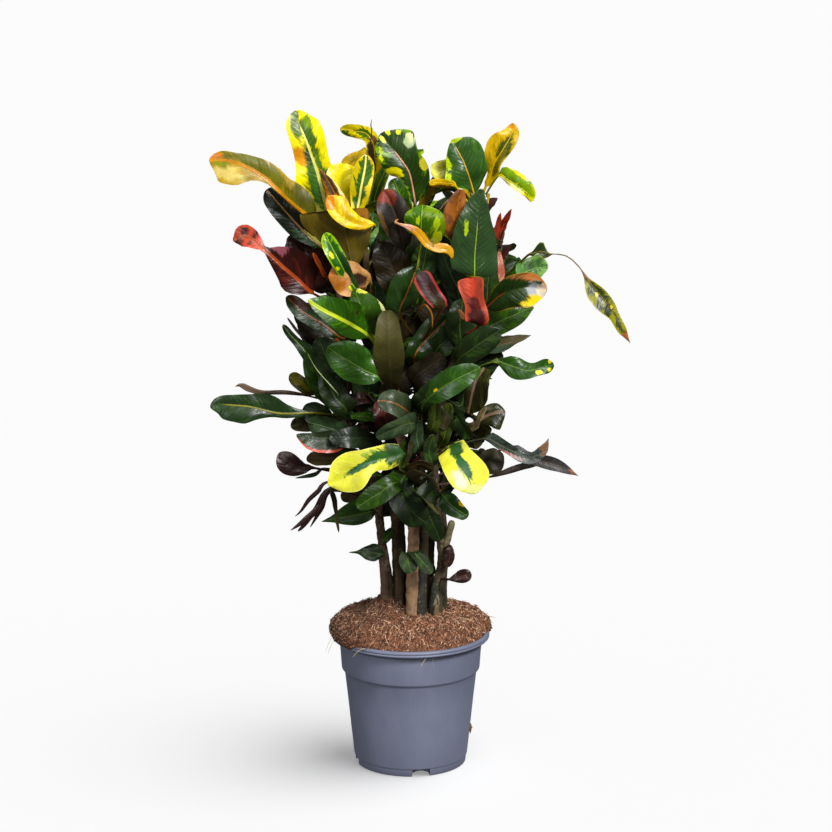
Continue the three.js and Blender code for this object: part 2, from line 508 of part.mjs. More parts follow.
// A closed skin over rings of points, with a flat first end, and a flat or pointed last end.
function loft(rings, tip) {
  const count = rings[0].length;
  const points = rings.flat();
  if (tip) points.push(tip);
  const faces = [];
  for (let k = 0; k + 1 < rings.length; k += 1) {
    for (let i = 0; i < count; i += 1) {
      const a = k * count + i;
      const b = k * count + (i + 1) % count;
      // Opposite faces of a blade are split along the same lines, so that they can't cross.
      if (i % 2 === 0) faces.push(a, b, a + count, b, b + count, a + count);
      else faces.push(a, b, b + count, a, b + count, a + count);
    }
  }
  for (let i = 1; i + 1 < count; i += 1) faces.push(0, i + 1, i);
  const last = (rings.length - 1) * count;
  if (tip) for (let i = 0; i < count; i += 1) faces.push(last + i, last + (i + 1) % count, points.length - 1);
  else for (let i = 1; i + 1 < count; i += 1) faces.push(last, last + i, last + i + 1);
  const geometry = new THREE.BufferGeometry();
  geometry.setAttribute('position', new THREE.Float32BufferAttribute(points.flatMap((p) => p.toArray()), 3));
  geometry.setIndex(faces);
  return geometry;
}

function toSolid(geometry) {
  const bare = geometry.clone();
  bare.deleteAttribute('normal');
  bare.deleteAttribute('uv');
  const merged = mergeVertices(bare, 1e-3);
  return new wasm.Manifold(new wasm.Mesh({
    numProp: 3,
    vertProperties: new Float32Array(merged.attributes.position.array),
    triVerts: new Uint32Array(merged.index.array),
  }));
}

function toGeometry(solid) {
  const mesh = solid.getMesh();
  const geometry = new THREE.BufferGeometry();
  geometry.setAttribute('position', new THREE.Float32BufferAttribute(mesh.vertProperties, 3));
  geometry.setIndex(Array.from(mesh.triVerts));
  geometry.computeVertexNormals();
  return geometry;
}

// A level ring round a stem's straight foot, or one square to the line at a step.
function levelRing(x, y, z, radius) {
  return Array.from({ length: stemSides }, (_, k) => {
    const turn = 2 * Math.PI * k / stemSides;
    return new THREE.Vector3(x + radius * Math.cos(turn), y + radius * Math.sin(turn), z);
  });
}

const ringsPerArm = 8;
function armSolid(arm) {
  const start = arm.path[0];
  const rings = [];
  const fromSoil = start[2] === stemFree;
  if (fromSoil) rings.push(levelRing(start[0], start[1], stemFoot, arm.radii[0]));
  for (let k = 0; k <= ringsPerArm; k += 1) {
    const i = Math.round(k / ringsPerArm * armSteps);
    const ahead = new THREE.Vector3().subVectors(arm.line[Math.min(i + 1, armSteps)], arm.line[Math.max(i - 1, 0)]);
    const turn = new THREE.Quaternion().setFromUnitVectors(up, k === 0 && fromSoil ? up : ahead.normalize());
    const radius = mix(...arm.radii, k / ringsPerArm);
    rings.push(levelRing(0, 0, 0, radius).map((p) => p.applyQuaternion(turn).add(arm.line[i])));
  }
  return toSolid(loft(rings, null));
}

// A plant is its arms and leaves grown together.
function plantGeometry(number) {
  const solids = Object.values(arms).filter((arm) => arm.plant === number).map(armSolid);
  for (const leaf of leaves) {
    if (arms[leaf.arm].plant === number) solids.push(toSolid(loft(leaf.rings, leaf.tip)));
  }
  const joined = wasm.Manifold.union(solids);
  const bodies = joined.decompose().sort((a, b) => b.volume() - a.volume());
  return toGeometry(bodies[0]);
}

// A profile of [radius, height] points, from axis to axis, turned about Z.
function turned(profile) {
  const geometry = new THREE.LatheGeometry(profile.map(([r, z]) => new THREE.Vector2(r, z)), potSides);
  geometry.rotateX(Math.PI / 2);
  return geometry;
}

// The pot: foot ring, tapering body, deep band, flared lip, and the same again inside.
const padRadius = 24;           // flat moulding pad in the middle of the underside, level with the foot
const padRise = 2.4;
const lipDrop = 5;
const floorHeight = 4.2;
const innerWall = [
  [footRadius - wall, floorHeight],
  [bodyFootRadius - wall, footHeight + 4],
  [bodyTopRadius - wall, bandFoot - 0.6],
  [bandFootRadius - wall, bandFoot + 2.4],
  [bandTopRadius - wall, potHeight - 13],
  [bandTopRadius - wall + 1.4, potHeight - 9],
];
const potProfile = [
  [0, 0],
  [padRadius - 2, 0],
  [padRadius, padRise],
  [footRadius - 9, padRise],
  [footRadius - 6.4, 0],
  [footRadius, 0],
  [footRadius + 0.8, footHeight - 1.6],
  [bodyFootRadius - 0.4, footHeight + 0.6],
  [bodyTopRadius, bandFoot - 1],
  [bandFootRadius - 0.8, bandFoot],
  [bandFootRadius, bandFoot + 1.4],
  [bandTopRadius, potHeight - 14],
  [bandTopRadius - 0.6, potHeight - 12.4],
  [bandTopRadius + 3, potHeight - 10.4],
  [lipRadius - 1.4, potHeight - 8.4],
  [lipRadius, potHeight - 6.6],
  [lipRadius, potHeight - 2],
  [lipRadius - 1.2, potHeight - 0.4],
  [lipRadius - 3.4, potHeight],
  [lipRadius - 5.6, potHeight - 1.2],
  [lipRadius - 7.6, potHeight - lipDrop],
  ...innerWall.slice().reverse(),
  [0, floorHeight],
];

// Four drain notches through the foot, the first a little right of the front.
const notchCount = 4;
const notchTurn = -79;
const notchWidth = 21;
const notchHeight = 8.6;
const notchDepth = 16;
function notchSolids() {
  return Array.from({ length: notchCount }, (_, k) => {
    const notch = new THREE.BoxGeometry(notchDepth, notchWidth, notchHeight * 2);
    notch.translate(footRadius, 0, 0);
    notch.rotateZ(radians(notchTurn + 360 / notchCount * k));
    return toSolid(notch);
  });
}

// The height of the coir: a low mound with a heap round the left-hand stems and small lumps.
const heap = { x: -33, y: 6, height: 19, spread: 19 };
function soilHeight(x, y) {
  const share = Math.min(1, Math.hypot(x, y) / lipRadius);
  const mound = soilEdge + (soilMiddle - soilEdge) * (1 - share ** 2.2);
  const away = Math.hypot(x - heap.x, y - heap.y) / heap.spread;
  const lumps = 1.6 * Math.sin(x * 0.11 + 1) * Math.cos(y * 0.13 - 0.6) + 1.1 * Math.sin(x * 0.23 - y * 0.19);
  return mound + heap.height * Math.exp(-away * away) + lumps;
}

// How far the coir spills over the lip: not at the front, fully at the left and the back.
function spillAt(turn) {
  const towardsFront = Math.cos(turn + Math.PI / 2 - 0.12);
  return THREE.MathUtils.clamp((0.55 - towardsFront) / 0.75, 0, 1);
}

// Rings of the coir, from the bottom up the pot's inner wall, over the lip and in to the middle.
const lipPath = [
  [bandTopRadius - wall + 1.5, potHeight - 8.5],
  [lipRadius - 8, potHeight - lipDrop + 0.3],
  [lipRadius - 5.9, potHeight - 0.9],
  [lipRadius - 3.4, potHeight + 0.4],
  [lipRadius - 1, potHeight],
];
function lipPoint(share) {
  const place = share * (lipPath.length - 1);
  const i = Math.min(Math.floor(place), lipPath.length - 2);
  return [0, 1].map((c) => mix(lipPath[i][c], lipPath[i + 1][c], place - i));
}
const leastReach = 0.34;        // how far up the lip's inside the coir lies at the front
const soilRings = [0.93, 0.8, 0.6, 0.36];
function soilSolid() {
  const rings = [];
  for (let k = 0; k < potSides; k += 1) {
    const turn = 2 * Math.PI * k / potSides;
    const spill = spillAt(turn);
    const reach = mix(leastReach, 1, spill);
    const column = innerWall.map(([r, z]) => [r - gap, z + gap]);
    column.pop();
    for (const share of [0, 0.25, 0.5, 0.75, 1]) {
      const [r, z] = lipPoint(Math.min(share, reach));
      column.push([r - Math.max(0, share - reach) * 0.6, z + Math.max(0, share - reach)]);
    }
    const edge = lipPoint(reach);
    const rim = edge[0] + mix(-0.4, 2.6 + 1.4 * Math.sin(3 * turn + 0.5), spill);
    const shoulder = edge[1] + mix(1.6, 3, spill);
    column.push([rim, shoulder]);
    for (const share of soilRings) {
      const r = rim * share;
      const [x, y] = [r * Math.cos(turn), r * Math.sin(turn)];
      const settled = mix(shoulder + 3, soilHeight(x, y), THREE.MathUtils.clamp((rim - r) / 14, 0, 1));
      column.push([r, settled]);
    }
    rings.push(column.map(([r, z]) => new THREE.Vector3(r * Math.cos(turn), r * Math.sin(turn), z)));
  }
  const levels = rings[0].length;
  const points = rings.flat();
  const bottom = points.push(new THREE.Vector3(0, 0, floorHeight + gap)) - 1;
  const top = points.push(new THREE.Vector3(0, 0, soilHeight(0, 0))) - 1;
  const faces = [];
  for (let k = 0; k < potSides; k += 1) {
    const next = (k + 1) % potSides;
    faces.push(bottom, next * levels, k * levels);
    for (let i = 0; i + 1 < levels; i += 1) {
      const a = k * levels + i;
      const b = next * levels + i;
      faces.push(a, b, b + 1, a, b + 1, a + 1);
    }
    faces.push(top, k * levels + levels - 1, next * levels + levels - 1);
  }
  const geometry = new THREE.BufferGeometry();
  geometry.setAttribute('position', new THREE.Float32BufferAttribute(points.flatMap((p) => p.toArray()), 3));
  geometry.setIndex(faces);
  return toSolid(geometry);
}

// Plain holes that the stems stand in.
function stemHoles() {
  return Object.values(arms).filter((arm) => arm.path[0][2] === stemFree).map((arm) => {
    const [x, y] = arm.path[0];
    const radius = arm.radii[0] + gap / Math.cos(Math.PI / stemSides);
    return toSolid(loft([stemFoot - gap, stemFree].map((z) => levelRing(x, y, z, radius)), null));
  });
}

function addPiece(group, name, geometry, color, roughness) {
  const material = new THREE.MeshStandardMaterial({ color, roughness, metalness: 0 });
  const mesh = new THREE.Mesh(geometry, material);
  mesh.name = name;
  group.add(mesh);
}

const croton = new THREE.Group();
addPiece(croton, 'pot', toGeometry(toSolid(turned(potProfile)).subtract(wasm.Manifold.union(notchSolids()))),
  0x63697e, 0.55);
addPiece(croton, 'soil', toGeometry(soilSolid().subtract(wasm.Manifold.union(stemHoles()))), 0x6b4630, 0.95);

const plantColors = [0x8f8a2a, 0x9a8f2c, 0x3d5a24, 0x3f5326, 0x4d6a2a, 0x38501f, 0x5a3a2c];
plantColors.forEach((color, i) => addPiece(croton, `plant_${i + 1}`, plantGeometry(i + 1), color, 0.35));

export default croton;
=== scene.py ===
# A potted croton: seven leafy stems with blotched, twisted leaves, in coir in a blue-grey nursery pot.
# The leaf rows are in millimetres, as seen from the front. Every mesh is in metres.
import itertools
import json
import math
import bpy
import numpy as np
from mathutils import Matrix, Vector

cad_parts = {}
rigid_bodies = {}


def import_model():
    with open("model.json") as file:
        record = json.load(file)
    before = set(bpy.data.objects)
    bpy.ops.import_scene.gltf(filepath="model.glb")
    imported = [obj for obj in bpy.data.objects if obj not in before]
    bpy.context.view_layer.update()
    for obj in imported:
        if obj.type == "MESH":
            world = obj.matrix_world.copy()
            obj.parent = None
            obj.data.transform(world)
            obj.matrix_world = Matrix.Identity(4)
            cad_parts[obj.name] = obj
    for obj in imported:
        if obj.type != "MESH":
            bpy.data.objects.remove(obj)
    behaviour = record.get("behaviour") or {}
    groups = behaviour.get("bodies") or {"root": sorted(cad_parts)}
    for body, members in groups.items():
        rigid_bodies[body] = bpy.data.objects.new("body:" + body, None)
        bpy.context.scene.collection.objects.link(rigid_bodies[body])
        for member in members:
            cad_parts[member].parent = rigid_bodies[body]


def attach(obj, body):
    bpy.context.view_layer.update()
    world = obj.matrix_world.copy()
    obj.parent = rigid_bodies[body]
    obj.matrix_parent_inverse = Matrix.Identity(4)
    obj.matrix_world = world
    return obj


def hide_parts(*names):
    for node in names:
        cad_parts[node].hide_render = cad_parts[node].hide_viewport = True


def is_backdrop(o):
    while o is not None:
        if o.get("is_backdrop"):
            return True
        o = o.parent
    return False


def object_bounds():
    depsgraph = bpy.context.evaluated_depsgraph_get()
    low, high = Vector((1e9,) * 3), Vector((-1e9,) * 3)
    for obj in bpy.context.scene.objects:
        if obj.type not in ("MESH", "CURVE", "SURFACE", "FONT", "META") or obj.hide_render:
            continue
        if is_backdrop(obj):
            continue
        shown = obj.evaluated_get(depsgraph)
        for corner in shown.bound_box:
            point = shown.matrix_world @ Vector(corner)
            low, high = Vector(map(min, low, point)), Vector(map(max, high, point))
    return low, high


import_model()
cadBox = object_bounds()
mm = 0.001


def srgb(code):    # a colour as on a screen, made linear
    parts = [int(code[i:i + 2], 16) / 255 for i in (0, 2, 4)]
    return tuple(c / 12.92 if c <= 0.04045 else ((c + 0.055) / 1.055) ** 2.4 for c in parts)


def mix(a, b, share):
    return a + (b - a) * share


def clamp(value):
    return min(1, max(0, value))


def makeDraw(start):    # the same numbers in every run
    state = [start]

    def draw(low, high):
        state[0] = state[0] * drawFactor % drawRange
        return low + (high - low) * state[0] / drawRange

    return draw


drawFactor = 16807
drawRange = 2147483647


# Shader maths: a value that runs through a material's nodes
class Value:
    def __init__(self, maker, socket):
        self.maker = maker
        self.socket = socket

    def math(self, operation, *others):
        return self.maker.add("ShaderNodeMath", {"operation": operation}, [self, *others])

    def __add__(self, other):
        return self.math("ADD", other)

    __radd__ = __add__

    def __sub__(self, other):
        return self.math("SUBTRACT", other)

    def __rsub__(self, other):
        return self.maker.add("ShaderNodeMath", {"operation": "SUBTRACT"}, [other, self])

    def __mul__(self, other):
        return self.math("MULTIPLY", other)

    __rmul__ = __mul__

    def __truediv__(self, other):
        return self.math("DIVIDE", other)

    def __pow__(self, other):
        return self.math("POWER", other)


class Maker:
    def __init__(self, name):
        self.material = bpy.data.materials.new(name)
        self.material.use_nodes = True
        self.tree = self.material.node_tree
        self.tree.nodes.clear()

    def add(self, kind, settings=None, values=(), out=0):
        node = self.tree.nodes.new(kind)
        for key, setting in (settings or {}).items():
            if key == "stops":
                for i, (place, color) in enumerate(setting):
                    stop = node.color_ramp.elements[i] if i < 2 else node.color_ramp.elements.new(place)
                    stop.position = place
                    stop.color = (*color, 1)
            else:
                setattr(node, key, setting)
        for key, value in values.items() if isinstance(values, dict) else enumerate(values):
            socket = node.inputs[key]
            if isinstance(value, Value):
                self.tree.links.new(value.socket, socket)
            else:
                socket.default_value = (*value, 1) if socket.type == "RGBA" else value
        return Value(self, node.outputs[out])

    def attribute(self, name, out=1):
        return self.add("ShaderNodeAttribute", {"attribute_name": name}, out=out)

    def place(self):
        return self.add("ShaderNodeTexCoord", out=3)

    def split(self, vector):
        node = self.add("ShaderNodeSeparateXYZ", values=[vector]).socket.node
        return [Value(self, node.outputs[i]) for i in range(3)]

    def join(self, x, y, z):
        return self.add("ShaderNodeCombineXYZ", values=[x, y, z])

    def stretch(self, vector, scale):
        return self.add("ShaderNodeMapping", values={0: vector, 3: scale})

    def noise(self, vector, scale, detail=2.0, rough=0.5):
        return self.add("ShaderNodeTexNoise", values={0: vector, 2: scale, 3: detail, 4: rough})

    def smooth(self, value, low, high):
        settings = {"interpolation_type": "SMOOTHSTEP"}
        return self.add("ShaderNodeMapRange", settings, {0: value, 1: low, 2: high})

    def mixColor(self, share, a, b):
        return self.add("ShaderNodeMix", {"data_type": "RGBA"}, {0: share, 6: a, 7: b}, 2)

    def shade(self, color, value, saturation=1.0):    # lighter or darker by a factor
        return self.add("ShaderNodeHueSaturation", values={1: saturation, 2: value, 4: color})

    def finish(self, color, rough, height, bumpDepth, bumpStrength=1.0, **fixed):
        bump = self.add("ShaderNodeBump", values={0: bumpStrength, 1: bumpDepth, "Height": height})
        values = {"Base Color": color, "Roughness": rough, "Normal": bump, **fixed}
        surface = self.add("ShaderNodeBsdfPrincipled", values=values)
        output = self.tree.nodes.new("ShaderNodeOutputMaterial")
        self.tree.links.new(surface.socket, output.inputs[0])
        return self.material


# Meshes from arrays of points and four-sided faces
def makePiece(name, points, faces, material, replaced=(), traits=None, uv=None, sharp=60):
    mesh = bpy.data.meshes.new(name)
    mesh.from_pydata(np.asarray(points, float).tolist(), [], list(map(list, faces)))
    for key, numbers in (traits or {}).items():
        numbers = np.asarray(numbers, np.float32)
        if numbers.shape[1] == 3:
            mesh.attributes.new(key, "FLOAT_VECTOR", "POINT").data.foreach_set("vector", numbers.ravel())
        else:
            mesh.attributes.new(key, "FLOAT_COLOR", "POINT").data.foreach_set("color", numbers.ravel())
    if uv is not None:
        mesh.uv_layers.new(name="OFBake").data.foreach_set("uv", np.asarray(uv, np.float32).ravel())
    mesh.materials.append(material)
    mesh.update()
    piece = addObject(name, mesh)
    deselect()
    piece.select_set(True)
    bpy.context.view_layer.objects.active = piece
    bpy.ops.object.shade_smooth_by_angle(angle=math.radians(sharp))
    dress(piece, replaced)
    return piece


def addObject(name, data):
    thing = bpy.data.objects.new(name, data)
    bpy.context.collection.objects.link(thing)
    return thing


def deselect():
    for other in bpy.context.selected_objects:
        other.select_set(False)


def dress(piece, replaced=()):
    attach(piece, "root")
    if replaced:
        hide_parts(*replaced)


# Layout: the arms of each plant from the soil up, as (x, y, z) with the radius at both ends
arms = {
    "a1": dict(plant=1, radii=(6.2, 3.4), path=[(-34, 3, 246), (-41, 1, 330), (-56, -8, 430),
        (-76, -20, 540), (-93, -29, 640), (-103, -32, 700), (-106, -34, 748)]),
    "a1b": dict(plant=1, radii=(4.4, 3), path=[(-53, -7, 415), (-72, -16, 444), (-88, -20, 470),
        (-98, -20, 505), (-102, -18, 545)]),
    "a2": dict(plant=2, radii=(6.4, 3.4), path=[(-17, 12, 246), (-20, 14, 330), (-30, 16, 450),
        (-43, 10, 560), (-55, 0, 650), (-62, -8, 735)]),
    "a3": dict(plant=3, radii=(6.4, 3.8), path=[(2, -22, 246), (3, -24, 340), (-11, -30, 425),
        (-20, -38, 510), (-27, -42, 575)]),
    "a4": dict(plant=4, radii=(6.2, 3.4), path=[(15, -6, 246), (18, -4, 320), (13, -2, 420), (7, -8, 530),
        (2, -16, 640), (3, -20, 742)]),
    "a5": dict(plant=5, radii=(6.6, 3.4), path=[(36, -9, 246), (42, -10, 285), (34, -11, 345),
        (32, -14, 430), (47, -22, 520), (66, -28, 610), (80, -30, 690), (86, -28, 756)]),
    "stub": dict(plant=5, radii=(4.4, 4.6), path=[(42, -10, 288), (48, -11, 304), (54, -12, 329)]),
    "a6": dict(plant=6, radii=(6, 3.2), path=[(-10, 36, 246), (-16, 44, 340), (-30, 66, 460),
        (-46, 86, 570), (-52, 92, 670)]),
    "a7": dict(plant=7, radii=(6, 3.2), path=[(22, 28, 246), (34, 40, 340), (62, 56, 450), (88, 58, 540),
        (106, 48, 620), (118, 36, 702)]),
}

# Thin woody shoots between the trunks, and thick dark feet
shoots = {
    "b1": dict(plant=5, radii=(5, 3), path=[(26, 12, 246), (27, 10, 300), (24, 6, 360), (27, 0, 430)]),
    "b2": dict(plant=4, radii=(4.6, 3), path=[(7, 14, 246), (9, 12, 310), (4, 8, 370), (2, 4, 430)]),
    "b3": dict(plant=3, radii=(4.4, 3), path=[(-13, 2, 246), (-13, 0, 310), (-17, -4, 370),
        (-20, -8, 430)]),
    "b4": dict(plant=5, radii=(4.6, 3), path=[(44, 10, 246), (46, 8, 300), (42, 4, 360), (46, 0, 430)]),
    "b5": dict(plant=5, radii=(9, 5.5), path=[(31, -20, 184), (31, -20, 205), (32, -18, 228),
        (34, -12, 246)]),
    "b6": dict(plant=4, radii=(8.5, 6), path=[(14, -24, 184), (14, -23, 208), (14, -20, 232),
        (15, -12, 256)]),
    "b7": dict(plant=5, radii=(4, 3.6), path=[(33, -30, 196), (33.5, -30, 210), (34.5, -29, 220)]),
    "b8": dict(plant=1, radii=(4, 2.2), path=[(-27, 4, 246), (-31, 2, 275), (-36, 0, 310)]),
}


def leafRow(arm, root, path, width, look, **more):
    return dict(arm=arm, root=root, path=path, width=width, look=look, **more)


